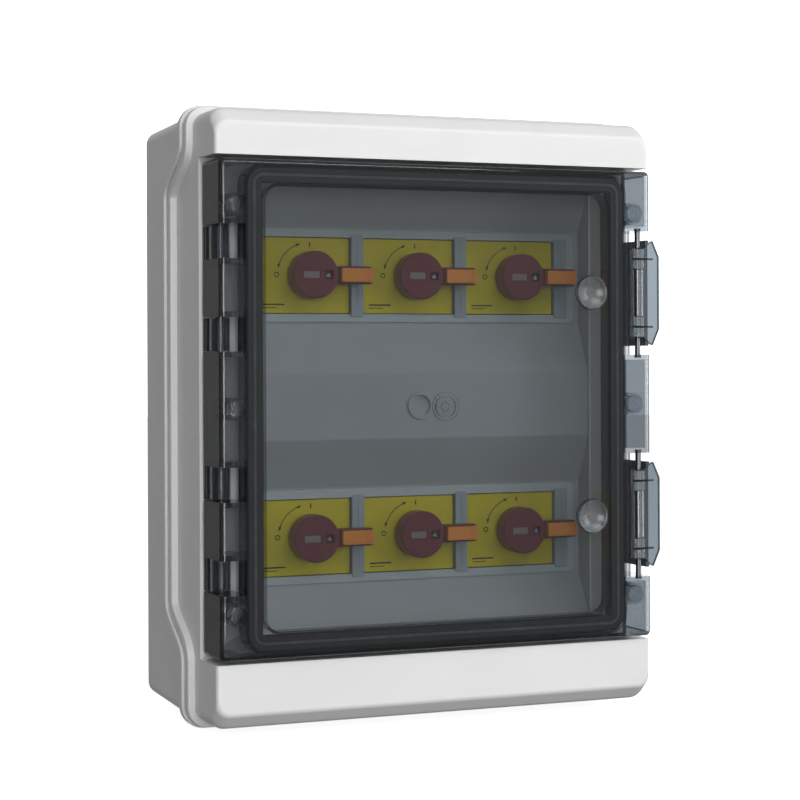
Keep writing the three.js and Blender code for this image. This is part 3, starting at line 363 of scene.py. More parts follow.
SHELL_GREY = moulded("shell_grey", rgb(0.74, 0.75, 0.74), 0.42)
# The shell's grey made darker for the pan set deep in the recess: painted shade.
FASCIA_SHADED_GREY = moulded("fascia_grey_painted_shade", rgb(0.48, 0.505, 0.51), 0.5)
RIM_GREY = moulded("rim_grey", rgb(0.58, 0.64, 0.64), 0.45)
MODULE_GREY = moulded("module_grey", rgb(0.42, 0.47, 0.50), 0.45, 0.4, 0.015)
KNOB_RED = moulded("knob_red", rgb(0.21, 0.045, 0.056), 0.34, 0.4, 0.012, 0.10)
LABEL_GREY = moulded("knob_pointer", rgb(0.30, 0.24, 0.23), 0.45, 0.4, 0.01)
SLIDE_ORANGE = moulded("slide_orange", rgb(0.98, 0.35, 0.06), 0.36, 0.4, 0.012, 0.07)
NYLON_GREEN = moulded("nylon_green", rgb(0.05, 0.26, 0.12), 0.5, 0.4, 0.015)
SMOKED = smoked_film("smoked_sheet", rgb(0.72, 0.735, 0.745), 0.014, rgb(0.30, 0.34, 0.38))
SMOKED_EDGE = smoked_film("smoked_wall", rgb(0.38, 0.40, 0.42), 0.03, rgb(0.20, 0.22, 0.25))
SMOKED_TUBE = smoked_film("smoked_tube", rgb(0.62, 0.65, 0.68), 0.02, rgb(0.40, 0.44, 0.48))
# Near-black smoked finish: for the long way through the door's rim, and as painted shade in the gaps, grooves
# and shaded sides of the door, hinge clips and latches.
SMOKED_RIM_AND_PAINTED_SHADE = smoked_film("smoked_rim_and_painted_shade", rgb(0.12, 0.13, 0.14), 0.08, rgb(0.03, 0.03, 0.035))
SMOKED_WING = smoked_film("smoked_wing", rgb(0.465, 0.508, 0.54), 0.03, rgb(0.30, 0.34, 0.38))
SMOKED_LATCH = smoked_film("smoked_latch", rgb(0.80, 0.83, 0.85), 0.16, rgb(0.50, 0.56, 0.60))
SMOKED_BOWL = smoked_film("smoked_bowl", rgb(0.42, 0.44, 0.45), 0.17, rgb(0.46, 0.48, 0.50), 0.24)
BLACK_RUBBER = rubber_finish("black_rubber", 0.014)
# A lighter grey rubber for a thin line along the middle of the door gasket's face.
LIGHTER_RUBBER = rubber_finish("light_line_rubber", 0.10)
YELLOW = printed_plate()
INK = ink_finish()
ZINC = plated("zinc_plate", rgb(0.66, 0.67, 0.68), 0.22)
PIN_STEEL = plated("pin_steel", rgb(0.16, 0.17, 0.18), 0.25)
BRASS = plated("bright_brass", rgb(0.74, 0.52, 0.20), 0.20)


# ------------------------------------------------------------------ words for making shapes
def new_piece(name, mesh):
    piece = bpy.data.objects.new(name, mesh)
    bpy.context.scene.collection.objects.link(piece)
    return piece


def placed(axis, along, u, v):
    """A point from its place along one axis and its two places across it."""
    if axis == "x":
        return (along, u, v)
    if axis == "y":
        return (u, along, v)
    return (u, v, along)


def loft(name, rings, closed_path=False):
    """A skin through rings of points, with a face over each end or joined end to end."""
    bm = bmesh.new()
    rows = [[bm.verts.new(point) for point in ring] for ring in rings]
    pairs = list(zip(rows, rows[1:]))
    if closed_path:
        pairs.append((rows[-1], rows[0]))
    else:
        bm.faces.new(rows[0])
        bm.faces.new(rows[-1])
    for near, far in pairs:
        for i in range(len(near)):
            j = (i + 1) % len(near)
            bm.faces.new((near[i], near[j], far[j], far[i]))
    bmesh.ops.recalc_face_normals(bm, faces=bm.faces)
    mesh = bpy.data.meshes.new(name)
    bm.to_mesh(mesh)
    bm.free()
    return new_piece(name, mesh)


def prism(name, axis, outline, low, high):
    rings = [[placed(axis, along, u, v) for u, v in outline] for along in (low, high)]
    return loft(name, rings)


def rectangle(u0, u1, v0, v1):
    return [(u0, v0), (u1, v0), (u1, v1), (u0, v1)]


def circle(radius, u, v, sides=40):
    turns = [math.tau * i / sides for i in range(sides)]
    return [(u + radius * math.cos(turn), v + radius * math.sin(turn)) for turn in turns]


def rounded(points, radius, steps=6):
    """A closed outline with its corners rounded. A list of radii gives each corner its own."""
    result = []
    for i, point in enumerate(points):
        corner = Vector(point)
        back = Vector(points[i - 1]) - corner
        on = Vector(points[(i + 1) % len(points)]) - corner
        bend = radius[i] if isinstance(radius, list) else radius
        angle = back.angle(on)
        if bend <= 0 or angle > math.radians(178):
            result.append(tuple(corner))
            continue
        reach = min(bend / math.tan(angle / 2), 0.49 * min(back.length, on.length))
        bend = reach * math.tan(angle / 2)
        centre = corner + (back.normalized() + on.normalized()).normalized() * bend / math.sin(angle / 2)
        start = corner + back.normalized() * reach - centre
        end = corner + on.normalized() * reach - centre
        sweep = math.pi - angle
        for step in range(steps + 1):
            share = step / steps
            first = math.sin((1 - share) * sweep) / math.sin(sweep)
            second = math.sin(share * sweep) / math.sin(sweep)
            result.append(tuple(centre + start * first + end * second))
    return result


def box(name, x0, x1, y0, y1, z0, z1):
    return prism(name, "y", rectangle(x0, x1, z0, z1), y0, y1)


def bar(name, axis, radius, low, high, u, v, sides=40):
    return prism(name, axis, circle(radius, u, v, sides), low, high)


def freeze(piece):
    """Puts the result of a piece's modifiers into its mesh."""
    bpy.context.view_layer.update()
    shape = bpy.data.meshes.new_from_object(piece.evaluated_get(bpy.context.evaluated_depsgraph_get()))
    old = piece.data
    piece.modifiers.clear()
    piece.data = shape
    bpy.data.meshes.remove(old)
    return piece


def combine(piece, operation, others):
    for other in others:
        step = piece.modifiers.new(operation.lower(), "BOOLEAN")
        step.operation = operation
        step.solver = "EXACT"
        step.object = other
    freeze(piece)
    for other in others:
        bpy.data.objects.remove(other)
    return piece


def join(piece, *others):
    return combine(piece, "UNION", others)


def cut(piece, *others):
    return combine(piece, "DIFFERENCE", others)


def keep(piece, *others):
    return combine(piece, "INTERSECT", others)


def soften(piece, width, segments=3, angle=32):
    """Rounds the edges that turn more than an angle, and keeps the flats flat."""
    edges = piece.modifiers.new("edges", "BEVEL")
    edges.width = width
    edges.segments = segments
    edges.limit_method = "ANGLE"
    edges.angle_limit = math.radians(angle)
    edges.use_clamp_overlap = True
    return freeze(piece)


def weighted(piece):
    for face in piece.data.polygons:
        face.use_smooth = True
    piece.data.set_sharp_from_angle(angle=math.radians(50))
    normals = piece.modifiers.new("normals", "WEIGHTED_NORMAL")
    normals.keep_sharp = True
    normals.weight = 60
    return freeze(piece)


def dressed(piece, *materials):
    piece.data.materials.clear()
    for material in materials:
        piece.data.materials.append(material)
    return piece


def hand_over(piece, body, slot, *nodes):
    """Scales a finished piece to metres, puts it on its body and lets it stand for its nodes."""
    weighted(piece)
    piece.data.transform(Matrix.Scale(MM, 4))
    piece.matrix_world = Matrix.Identity(4)
    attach(piece, body)
    if nodes:
        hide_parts(*nodes)
    return piece


# ------------------------------------------------------------------ the parting line
def parting_depth(z):
    """Deep down the sides, sweeping forward to the ends."""
    sweep = SWEEP_TOP if z > 0 else SWEEP_BOTTOM
    along = (abs(z) - (HALF_HEIGHT - sweep)) / SWEEP_LENGTH
    eased = 0.5 - 0.5 * math.cos(math.pi * min(1, max(0, along)))
    return PARTING_SIDE + (PARTING_END - PARTING_SIDE) * eased


def parting_heights(steps=20):
    """Heights from the bottom up, close together where the line sweeps."""
    low = SWEEP_BOTTOM - HALF_HEIGHT
    high = HALF_HEIGHT - SWEEP_TOP
    shares = [step / steps for step in range(steps + 1)]
    return [low - SWEEP_LENGTH * (1 - share) for share in shares] + [
        high + SWEEP_LENGTH * share for share in shares
    ]


def in_front_of_parting(name, offset):
    line = [(behind(parting_depth(z) + offset), z) for z in parting_heights()]
    outline = [(-FAR, -FAR), (line[0][0], -FAR), *line, (line[-1][0], FAR), (-FAR, FAR)]
    return prism(name, "x", outline, -FAR, FAR)


def parting_path(offset):
    """The closed line round the box, as (point, outward direction) pairs."""
    side = HALF_WIDTH
    end = HALF_HEIGHT
    right = [((side, z), (1, 0)) for z in parting_heights() if abs(z) < end - CORNER - 1]
    left = [((-x, z), (-1, 0)) for (x, z), _ in reversed(right)]
    steps = 10

    def corner(sign_x, sign_z, first):
        points = []
        for step in range(steps + 1):
            turn = first + math.pi / 2 * step / steps
            direction = (math.cos(turn), math.sin(turn))
            centre = (sign_x * (side - CORNER), sign_z * (end - CORNER))
            points.append((
                (centre[0] + CORNER * direction[0], centre[1] + CORNER * direction[1]), direction,
            ))
        return points

    path = right + corner(1, 1, 0) + corner(-1, 1, math.pi / 2) + left
    path += corner(-1, -1, math.pi) + corner(1, -1, 1.5 * math.pi)
    return [
        (Vector((x, behind(parting_depth(z) + offset), z)), Vector((out_x, 0, out_z)))
        for (x, z), (out_x, out_z) in path
    ]


def swept(name, path, profile):
    """A section carried round a closed path. The section is given as (outward, back) pairs."""
    rings = []
    for i, (point, out) in enumerate(path):
        run = (path[(i + 1) % len(path)][0] - path[i - 1][0]).normalized()
        back = run.cross(out).normalized()
        if back.y < 0:
            back = -back
        rings.append([point + out * outward + back * depth for outward, depth in profile])
    return loft(name, rings, closed_path=True)


# ------------------------------------------------------------------ shells
def frame_ring(half_x, low, high, y, radius, steps=8):
    outline = rounded(rectangle(-half_x, half_x, low, high), radius, steps)
    return [(x, y, z) for x, z in outline]


def cover_form(name, inset, edge):
    """The cover's outside, or its inside when inset by the wall."""
    front = inset
    half = HALF_WIDTH - inset
    end = HALF_HEIGHT - inset
    top = rounded([
        (front, 0), (front, end - BEVEL_HEIGHT), (front + BEVEL_DEPTH, end),
        (front + FAR, end), (front + FAR, 0),
    ], [0, edge * 2, edge * 4, 0, 0], 8)
    side = rounded([
        (front, 0), (front, half), (front + FAR, half), (front + FAR, 0),
    ], [0, edge, 0, 0], 8)

    def reach(path, depth):
        best = 0
        for (d0, r0), (d1, r1) in zip(path, path[1:]):
            if min(d0, d1) <= depth <= max(d0, d1) and d1 > d0:
                best = max(best, r0 + (r1 - r0) * (depth - d0) / (d1 - d0))
        return best

    starts = sorted({round(d, 4) for d, r in top + side if front < d < front + 40})
    starts = [front + 0.001] + [d for d in starts if d > front + 0.02]
    starts.append(PARTING_SIDE + 25)
    radius = CORNER - inset / 2
    rings = []
    for d in starts:
        y = behind(d if d > front + 0.01 else front)
        rings.append(frame_ring(reach(side, d), -reach(top, d), reach(top, d), y, radius))
    return loft(name, rings)


def base_form(name, inset, back, edge):
    """The base's outside, narrowing to the back, or its inside when inset by the wall."""
    def section(y, less):
        taper = BASE_DRAFT * (1 - y / behind(PARTING_SIDE))
        half = HALF_WIDTH + BASE_DRAFT / 2 - taper - inset - less
        end = HALF_HEIGHT - taper - inset - less
        return frame_ring(half, -end, end, y, CORNER - inset / 2)

    rings = [section(behind(0), 0)]
    turns = [math.pi / 2 * step / 6 for step in range(7)]
    for turn in turns:
        y = back - edge * (1 - math.sin(turn))
        rings.append(section(y, edge * (1 - math.cos(turn)) if edge else 0))
        if not edge:
            break
    return loft(name, rings)


def ring_block(name, half_x, half_z, width, y0, y1, radius, steps=10):
    """An upright rectangular ring centred on the door."""
    outer = rounded(rectangle(-half_x, half_x, DOOR_CENTRE - half_z, DOOR_CENTRE + half_z), radius, steps)
    inner = rounded(
        rectangle(width - half_x, half_x - width, DOOR_CENTRE - half_z + width, DOOR_CENTRE + half_z - width),
        max(1, radius - width), steps,
    )
    return cut(prism(name, "y", outer, y0, y1), prism("hole", "y", inner, y0 - 1, y1 + 1))


def fascia_outline(added, end_margin, front):
    """The fascia's section: rows set deep, slopes above and below, and a crest between them."""
    land = ROW_LAND / 2
    row = (row_heights[0] - row_heights[1]) / 2
    half = CHANNEL_Z - CHANNEL_WALL - SEAL_WIDTH / 2 - RIB_WIDTH / 2 - 1 + end_margin
    upper = [
        (LANDING + 1.5 + added, half),
        (ROW_DEPTH + added, row + land),
        (ROW_DEPTH + added, row - land),
        (CREST_DEPTH + added, CREST_HEIGHT / 2),
    ]
    lower = [(depth, -z) for depth, z in reversed(upper)]
    points = [(behind(depth), DOOR_CENTRE + z) for depth, z in upper + lower]
    points += [(behind(front), points[-1][1]), (behind(front), points[0][1])]
    return rounded(points, [0, 5, 5, 4, 4, 5, 5, 0, 0, 0], 6)


def make_cover():
    inner_back = behind(LANDING + WALL)
    cover = cover_form("cover_shell", 0, FRONT_EDGE)
    hollow = cover_form("hollow", WALL, FRONT_EDGE / 2)
    cut(hollow, box("floor", -FAR, FAR, -FAR, inner_back, RECESS_BOTTOM - WALL, RECESS_TOP + WALL))
    pan_back = prism(
        "pan_back", "x", fascia_outline(FASCIA_WALL, FASCIA_WALL, LANDING),
        -PAN_X - FASCIA_WALL, PAN_X + FASCIA_WALL,
    )
    cut(hollow, pan_back)
    keep(cover, in_front_of_parting("front_part", 0))
    profile = rounded([(-1.5, -FLANGE_DEPTH), (COVER_FLANGE, -FLANGE_DEPTH), (COVER_FLANGE, 0), (-1.5, 0)],
                      [0, 0.9, 0.6, 0], 4)
    join(cover, swept("flange", parting_path(0), profile))
    recess = prism(
        "recess", "y", rectangle(-FAR, FAR, RECESS_BOTTOM, RECESS_TOP), -FAR, behind(LANDING),
    )
    pan = prism("pan", "x", fascia_outline(0, 0, LANDING - 5), -PAN_X, PAN_X)
    cut(cover, hollow, recess, pan)

    rib_x = CHANNEL_X - CHANNEL_WALL - SEAL_WIDTH / 2 + RIB_WIDTH / 2
    rib_z = CHANNEL_Z - CHANNEL_WALL - SEAL_WIDTH / 2 + RIB_WIDTH / 2
    extras = [ring_block(
        "rib", rib_x, rib_z, RIB_WIDTH, behind(SEAL_BACK + GAP), behind(LANDING + 1), CHANNEL_RADIUS - 4,
    )]
    half_window = WINDOW_HEIGHT / 2
    for z in row_heights:
        out = WINDOW_WIDTH / 2 + RIM_WIDTH
        tall = half_window + RIM_WIDTH
        rim = prism(
            "rim", "y", rounded(rectangle(-out, out, z - tall, z + tall), 4, 6),
            behind(ROW_DEPTH - RIM_HEIGHT), behind(ROW_DEPTH + FASCIA_WALL / 2),
        )
        extras.append(soften(rim, 0.5))
    boss_front = behind(CREST_DEPTH - RIM_HEIGHT)
    boss = bar("boss", "y", BOSS_RADIUS, boss_front, behind(CREST_DEPTH + 1), 0, DOOR_CENTRE)
    extras.append(soften(boss, 0.4))
    for place in latch_places:
        half = LATCH_LENGTH / 2 - 6
        catch = box("catch", place.x - 5, place.x - 1, behind(LANDING - 6), behind(LANDING + 1),
                    place.z - half, place.z + half)
        extras.append(soften(catch, 0.6))
    join(cover, *extras)

    cuts = []
    for z in row_heights:
        cuts.append(prism(
            "window", "y",
            rounded(rectangle(-WINDOW_WIDTH / 2, WINDOW_WIDTH / 2, z - half_window, z + half_window), 1, 4),
            -FAR, -1,
        ))
    seat = behind(LANDING + WALL)
    for place in screw_places:
        cuts.append(bar("screw_seat", "y", SCREW_HEAD + GAP, -FAR, seat + 1.8, place.x, place.z, 32))
    cuts.append(bar("boss_hole", "y", BOSS_RADIUS - 2.2, -FAR, behind(CREST_DEPTH + 0.6), 0, DOOR_CENTRE, 40))
    cut(cover, *cuts)
    dressed(cover, SHELL_GREY, FASCIA_SHADED_GREY, RIM_GREY)
    # The pan's faces get the darker fascia grey as painted shade for the deep recess; the window rims get
    # their own bluish grey.
    for face in cover.data.polygons:
        in_pan = abs(face.center.x) < PAN_X + 0.2 and RECESS_BOTTOM < face.center.z < RECESS_TOP
        if in_pan and face.center.y > behind(LANDING - 4):
            on_row = min(abs(face.center.z - z) for z in row_heights) < half_window + RIM_WIDTH + 0.1
            face.material_index = 2 if on_row and face.center.y < behind(ROW_DEPTH - 0.1) else 1
    return hand_over(cover, "enclosure", "shell_grey", "front_cover")


def make_base():
    base = base_form("base_shell", 0, 0.0, 2.4)
    cut(base, in_front_of_parting("front_part", PARTING_GAP))
    profile = rounded([(-1.5, 0), (BASE_FLANGE, 0), (BASE_FLANGE, FLANGE_DEPTH), (-1.5, FLANGE_DEPTH)],
                      [0, 0.6, 1.2, 0], 4)
    join(base, swept("lip", parting_path(PARTING_GAP), profile))
    inside = base_form("inside", WALL, -WALL, 0)
    cuts = [inside]
    for x in (-104, 104):
        for z in (-152, 152):
            cuts.append(bar("wall_hole", "y", 3.0, -20, 5, x, z, 32))
    for end in (-1, 1):
        skin = end * (HALF_HEIGHT - BASE_DRAFT)
        low, high = sorted((skin - end * 0.8, skin + end * 9))
        for x in (-62, 0, 62):
            cuts.append(cut(
                bar("knock_out", "z", 12.5, low, high, x, -38, 48),
                bar("knock_out_middle", "z", 11.3, low - 1, high + 1, x, -38, 48),
            ))
    cut(base, *cuts)
    return hand_over(dressed(base, SHELL_GREY), "enclosure", "shell_grey", "base_box")


def make_cover_seal():
    profile = rounded(rectangle(-2.6, COVER_FLANGE - 1.2, 0, SEAL_THICKNESS), 0.5, 3)
    seal = swept("parting_seal", parting_path(GAP), profile)
    return hand_over(dressed(seal, BLACK_RUBBER), "enclosure", "seal_rubber", "cover_seal")


# ------------------------------------------------------------------ door
def door_ring(y, less):
    return frame_ring(DOOR_HALF - less, DOOR_BOTTOM + less, DOOR_TOP - less, y, DOOR_EDGE - less * 0.4, 6)


def dimple_ball():
    return (DIMPLE_RADIUS ** 2 + DIMPLE_DEPTH ** 2) / (2 * DIMPLE_DEPTH)


def dome(name, x, z, ball, centre_y):
    """A ball cap on its own axis, wide enough to leave or line a dimple."""
    rings = []
    for step in range(1, 15):
        turn = math.radians(4 + 5 * step)
        y = centre_y + ball * math.cos(turn)
        rings.append([(u, y, v) for u, v in circle(ball * math.sin(turn), x, z, 56)])
    return loft(name, rings)


DOOR_FINISHES = (SMOKED, SMOKED_EDGE, SMOKED_TUBE, SMOKED_RIM_AND_PAINTED_SHADE, SMOKED_BOWL, SMOKED_WING)
ON_SHEET, ON_WALL, ON_TUBE, ON_RIM_AND_SHADE, ON_BOWL, ON_WING = range(6)
FLAT = 0.86                      # a face this square to the front is part of the sheet
SQUARE = 0.97                    # a face this square to the side is part of the right wall


def door_finish(place, normal):
    """Long ways through the sheet look dark: its rim most of all, and the thin screw tubes least. On the
    door's end walls and notch faces the rim finish is also painted shade for the gaps round the door.
    """
    dimple = min(math.hypot(place.x - DOOR_HALF + DIMPLE_IN, place.z - latch.z) for latch in latch_places)
    if dimple < DIMPLE_RADIUS - 0.2 and DOOR_FACE + 0.01 < place.y < DOOR_FACE + DIMPLE_DEPTH + 0.1:
        return ON_BOWL
    if place.x > DOOR_HALF - 1.6 and 0.2 < abs(normal.x) < SQUARE:
        return ON_RIM_AND_SHADE
    if abs(normal.y) > FLAT:
        return ON_RIM_AND_SHADE if place.y > behind(5) else ON_SHEET
    if min(math.hypot(place.x - screw.x, place.z - screw.z) for screw in screw_places) < TUBE_RADIUS + 0.4:
        return ON_TUBE
    if place.x > DOOR_HALF - DOOR_WALL - 0.1 and abs(normal.x) > SQUARE:
        return ON_WING if normal.x > 0 else ON_SHEET
    # End walls and notch faces go near-black: painted shade for the gaps round the door, together with the
    # long way through the wall.
    on_edge = abs(place.x) > DOOR_HALF - 0.6 or abs(place.z - DOOR_CENTRE) > DOOR_TALL - 0.6
    on_notch = abs(normal.z) > 0.7 and abs(place.x) > CHANNEL_X
    return ON_RIM_AND_SHADE if on_edge or on_notch else ON_WALL


def make_door():
    inside_face = DOOR_FACE + DOOR_SKIN
    turns = [math.pi / 2 * step / 7 for step in range(8)]
    rings = [
        door_ring(DOOR_FACE + DOOR_EDGE * (1 - math.sin(turn)), DOOR_EDGE * (1 - math.cos(turn)))
        for turn in reversed(turns)
    ]
    rings.append(door_ring(behind(26.5), 0))
    door = loft("door_cover", rings)
    hollow = prism("hollow", "y", rounded(rectangle(
        DOOR_WALL - DOOR_HALF, DOOR_HALF - DOOR_WALL, DOOR_BOTTOM + DOOR_WALL, DOOR_TOP - DOOR_WALL,
    ), 1.2, 4), inside_face, FAR)
    cut(door, hollow)

    inner_x = CHANNEL_X - CHANNEL_WALL - SEAL_WIDTH
    inner_z = CHANNEL_Z - CHANNEL_WALL - SEAL_WIDTH
    join(
        door,
        ring_block("channel", CHANNEL_X, CHANNEL_Z, CHANNEL_WALL, inside_face - 1, behind(CHANNEL_BACK),
                   CHANNEL_RADIUS),
        ring_block("channel_in", inner_x, inner_z, CHANNEL_WALL, inside_face - 1, behind(CHANNEL_BACK - 3),
                   CHANNEL_RADIUS - CHANNEL_WALL),
    )
    end_wall = DOOR_WALL + 0.5
    cut(
        door,
        box("trim", -CHANNEL_X, CHANNEL_X, behind(CHANNEL_BACK), FAR,
            DOOR_BOTTOM - 1, DOOR_BOTTOM + end_wall),
        box("trim", -CHANNEL_X, CHANNEL_X, behind(CHANNEL_BACK), FAR, DOOR_TOP - end_wall, DOOR_TOP + 1),
    )

    parts = []
    for place in screw_places:
        parts.append(bar("tube", "y", TUBE_RADIUS, inside_face - 1, behind(TUBE_BACK), place.x, place.z, 36))
    for z in hinge_heights:
        for end in (-1, 1):
            low, high = sorted((z + end * HINGE_HEIGHT / 2, z + end * (HINGE_HEIGHT / 2 + LUG)))
            parts.append(box("lug", 1 - DOOR_HALF, 1 - CHANNEL_X, inside_face - 1, behind(24), low, high))
    for place in latch_places:
        for end in (-1, 1):
            low, high = sorted((place.z + end * LATCH_ZONE / 2, place.z + end * (LATCH_ZONE / 2 + LUG)))
            parts.append(box("lug", CHANNEL_X - 1, DOOR_HALF - 1, inside_face - 1, behind(24), low, high))
        ball = dimple_ball()
        x = DOOR_HALF - DIMPLE_IN
        lining = dome("lining", x, place.z, ball + DOOR_SKIN, DOOR_FACE - ball + DIMPLE_DEPTH)
        slab = box("slab", x - SLAB, x + SLAB, inside_face - 0.5, FAR, place.z - SLAB, place.z + SLAB)
        parts.append(keep(lining, slab))
    parts.append(soften(bar(
        "boss", "y", BOSS_RADIUS, DOOR_FACE - 1.4, inside_face, 0, DOOR_CENTRE, 56,
    ), 0.5))
    join(door, *parts)

    cuts = []
    for z in hinge_heights:
        half = HINGE_HEIGHT / 2
        cuts.append(box("notch", -FAR, -CHANNEL_X, -FAR, FAR, z - half, z + half))
        reach = half + LUG + 1
        cuts.append(bar("hinge_bore", "z", HINGE_BORE, z - reach, z + reach, HINGE.x, HINGE.y, 24))
    for place in latch_places:
        half = LATCH_ZONE / 2
        cuts.append(box("notch", CHANNEL_X + 0.8, FAR, -FAR, FAR, place.z - half, place.z + half))
        reach = half + LUG - 1
        cuts.append(bar("pin_bore", "z", PIN_BORE, place.z - reach, place.z + reach, place.x, place.y, 24))
        ball = dimple_ball()
        cuts.append(dome("bowl", DOOR_HALF - DIMPLE_IN, place.z, ball, DOOR_FACE - ball + DIMPLE_DEPTH))
    for place in screw_places:
        cuts.append(bar("bore", "y", TUBE_BORE, -FAR, FAR, place.x, place.z, 36))
    cuts.append(bar("boss_hole", "y", BOSS_RADIUS - 2, -FAR, DOOR_FACE + 0.8, 0, DOOR_CENTRE, 48))
    cut(door, *cuts)
    gate = [
        soften(bar("gate", "y", 2.6, DOOR_FACE - 0.5, DOOR_FACE + 1, 0, DOOR_CENTRE, 32), 0.5),
    ]
    for wide, tall in ((GATE_REACH, GATE_HALF), (GATE_HALF, GATE_REACH)):
        rib = box("gate_rib", -wide, wide, DOOR_FACE - 0.1, DOOR_FACE + 1,
                  DOOR_CENTRE - tall, DOOR_CENTRE + tall)
        gate.append(soften(rib, 0.3))
    join(door, *gate)
    dressed(door, *DOOR_FINISHES)
    for face in door.data.polygons:
        face.material_index = door_finish(face.center, face.normal)
    return hand_over(door, "door", "smoked_clear", "door")


def seal_path(half_x, half_z, radius, y, steps=10):
    """A rounded rectangle round the door's centre, as (point, outward direction) pairs."""
    path = []
    corners = [(1, 1, 0.0), (-1, 1, 0.5), (-1, -1, 1.0), (1, -1, 1.5)]
    for sign_x, sign_z, first in corners:
        for step in range(steps + 1):
            turn = (first + 0.5 * step / steps) * math.pi
            out = Vector((math.cos(turn), 0, math.sin(turn)))
            centre = Vector((sign_x * (half_x - radius), y, DOOR_CENTRE + sign_z * (half_z - radius)))
            path.append((centre + out * radius, out))
    return path


def make_door_seal():
    """Foamed rubber laid in the door's channel, domed on the side that meets the cover's rib."""
    half = SEAL_WIDTH / 2 - GAP
    middle_x = CHANNEL_X - CHANNEL_WALL - SEAL_WIDTH / 2
    middle_z = CHANNEL_Z - CHANNEL_WALL - SEAL_WIDTH / 2
    front = DOOR_FACE + DOOR_SKIN + GAP
    back = behind(SEAL_BACK)
    profile = rounded([(-half, 0), (half, 0), (half, back - front), (-half, back - front)],
                      [0.6, 0.6, 2.6, 2.6], 5)
    path = seal_path(middle_x, middle_z, CHANNEL_RADIUS - CHANNEL_WALL - SEAL_WIDTH / 2, front)
    seal = swept("door_gasket", path, profile)
    # A thin bead of lighter rubber draws a lighter grey line along the middle of the gasket's face.
    bead_path = seal_path(middle_x, middle_z, 5.5, front)
    bead = swept("door_gasket_bead", bead_path, rectangle(-0.5, 0.9, -0.25, -0.02))
    hand_over(dressed(bead, LIGHTER_RUBBER), "door", "seal_rubber")
    return hand_over(dressed(seal, BLACK_RUBBER), "door", "seal_rubber", "door_seal")


def make_hinge_clip(number, z):
    half = HINGE_HEIGHT / 2 - GAP
    foot = behind(LANDING - GAP)
    clip = bar("hinge_clip_fine_%d" % number, "z", KNUCKLE, z - half, z + half, HINGE.x, HINGE.y, 40)
    arm = prism("arm", "z", rounded([
        (HINGE.x - KNUCKLE, HINGE.y), (HINGE.x + 3, HINGE.y), (HINGE.x + 3.4, foot - 3.6),
        (HINGE.x + 9, foot - 3), (HINGE.x + 9, foot), (HINGE.x - KNUCKLE - 1.6, foot),
        (HINGE.x - KNUCKLE - 1.6, foot - 3), (HINGE.x - KNUCKLE, foot - 4),
    ], [0, 0, 2, 1, 0, 0, 1, 1], 4), z - half, z + half)
    join(clip, arm)
    grooves = []
    for x in (HINGE.x - 1.8, HINGE.x + 1.9):
        grooves.append(box("groove", x - 0.35, x + 0.35, -FAR, HINGE.y - 3.4, z - half - 1, z + half + 1))
    cut(clip, *grooves)
    soften(clip, 0.3, 2)
    join(clip, bar("trunnion", "z", 2.2, z - half - 2.6, z + half + 2.6, HINGE.x, HINGE.y, 24))
    dressed(clip, SMOKED_TUBE, SMOKED_RIM_AND_PAINTED_SHADE)
    # Faces turned to the left and the clip's ends get the near-black finish: painted shade on its shaded side
    # and in the gaps at its ends.
    for face in clip.data.polygons:
        if face.normal.x < -0.6 or abs(face.normal.z) > 0.7:
            face.material_index = 1
    return hand_over(clip, "enclosure", "smoked_clear", f"hinge_clip_{number}")


# ------------------------------------------------------------------ latches
def make_latch(number, place):
    half = LATCH_LENGTH / 2
    hub = half - 5
    x, y, z = place
    face = DOOR_FACE
    wing = prism("latch_fine_%d" % number, "y", rounded([
        (x + 1.7, z - hub), (x + 8.5, z - half), (x + 13, z - 22), (x + 13, z + 22), (x + 8.5, z + half),
        (x + 1.7, z + hub),
    ], [0, 0.8, 1.5, 1.5, 0.8, 0], 4), face + 1, face + 3.6)
    soften(wing, 0.6)
    knuckle = bar("knuckle", "z", LATCH_KNUCKLE, z - hub, z + hub, x, y, 36)
    leg = soften(box("leg", x + 3.6, x + 6.2, face + 2, behind(LANDING - 3), z - half, z + half), 0.5)
    web = box("web", x, x + 4.6, face + 2, y + 1, z - hub, z + hub)
    plate = soften(box("plate", x - 4.6, x + 1.0, face + 1.6, y, z - hub, z + hub), 0.4)
    parts = [knuckle, leg, web, plate]
    for end in (-1, 1):
        low, high = sorted((z + end * hub, z + end * (hub - 13)))
        parts.append(soften(box("tab", x - 5.4, x + 2.2, face, y, low, high), 1.0))
    join(wing, *parts)
    cuts = [bar("bore", "z", 2.05, z - half, z + half, x, y, 28)]
    for end in (-1, 1):
        level = z + end * (hub - 6.5)
        cuts.append(box("groove", x - FAR, x + 8.5, -FAR, face + 1.6, level - 0.6, level + 0.6))
    cut(wing, *cuts)
    dressed(wing, SMOKED_WING, SMOKED_RIM_AND_PAINTED_SHADE, SMOKED_LATCH)
    # Grooves, tab ends and the wing's steps and edges get the near-black finish: painted shade in the gaps
    # and grooves.
    for part in wing.data.polygons:
        on_groove = abs(part.center.y - DOOR_FACE - 1.6) < 0.05 and part.center.x < x + 9
        on_end = abs(part.normal.z) > 0.35
        on_step = abs(part.normal.x) > 0.6 and part.center.x > x + 1.5
        if on_groove or on_end or on_step:
            part.material_index = 1
        elif part.center.x < x + 1.8:
            part.material_index = 2
    return hand_over(wing, f"latch_{number}", "smoked_clear", f"latch_{number}")


def make_latch_pin(number):
    low, high = span(f"latch_pin_{number}")
    centre = (low + high) / 2
    pin = soften(bar("latch_pin_fine_%d" % number, "z", 1.7, low.z, high.z, centre.x, centre.y, 28), 0.4)
    return hand_over(dressed(pin, PIN_STEEL), "door", "zinc_steel", f"latch_pin_{number}")


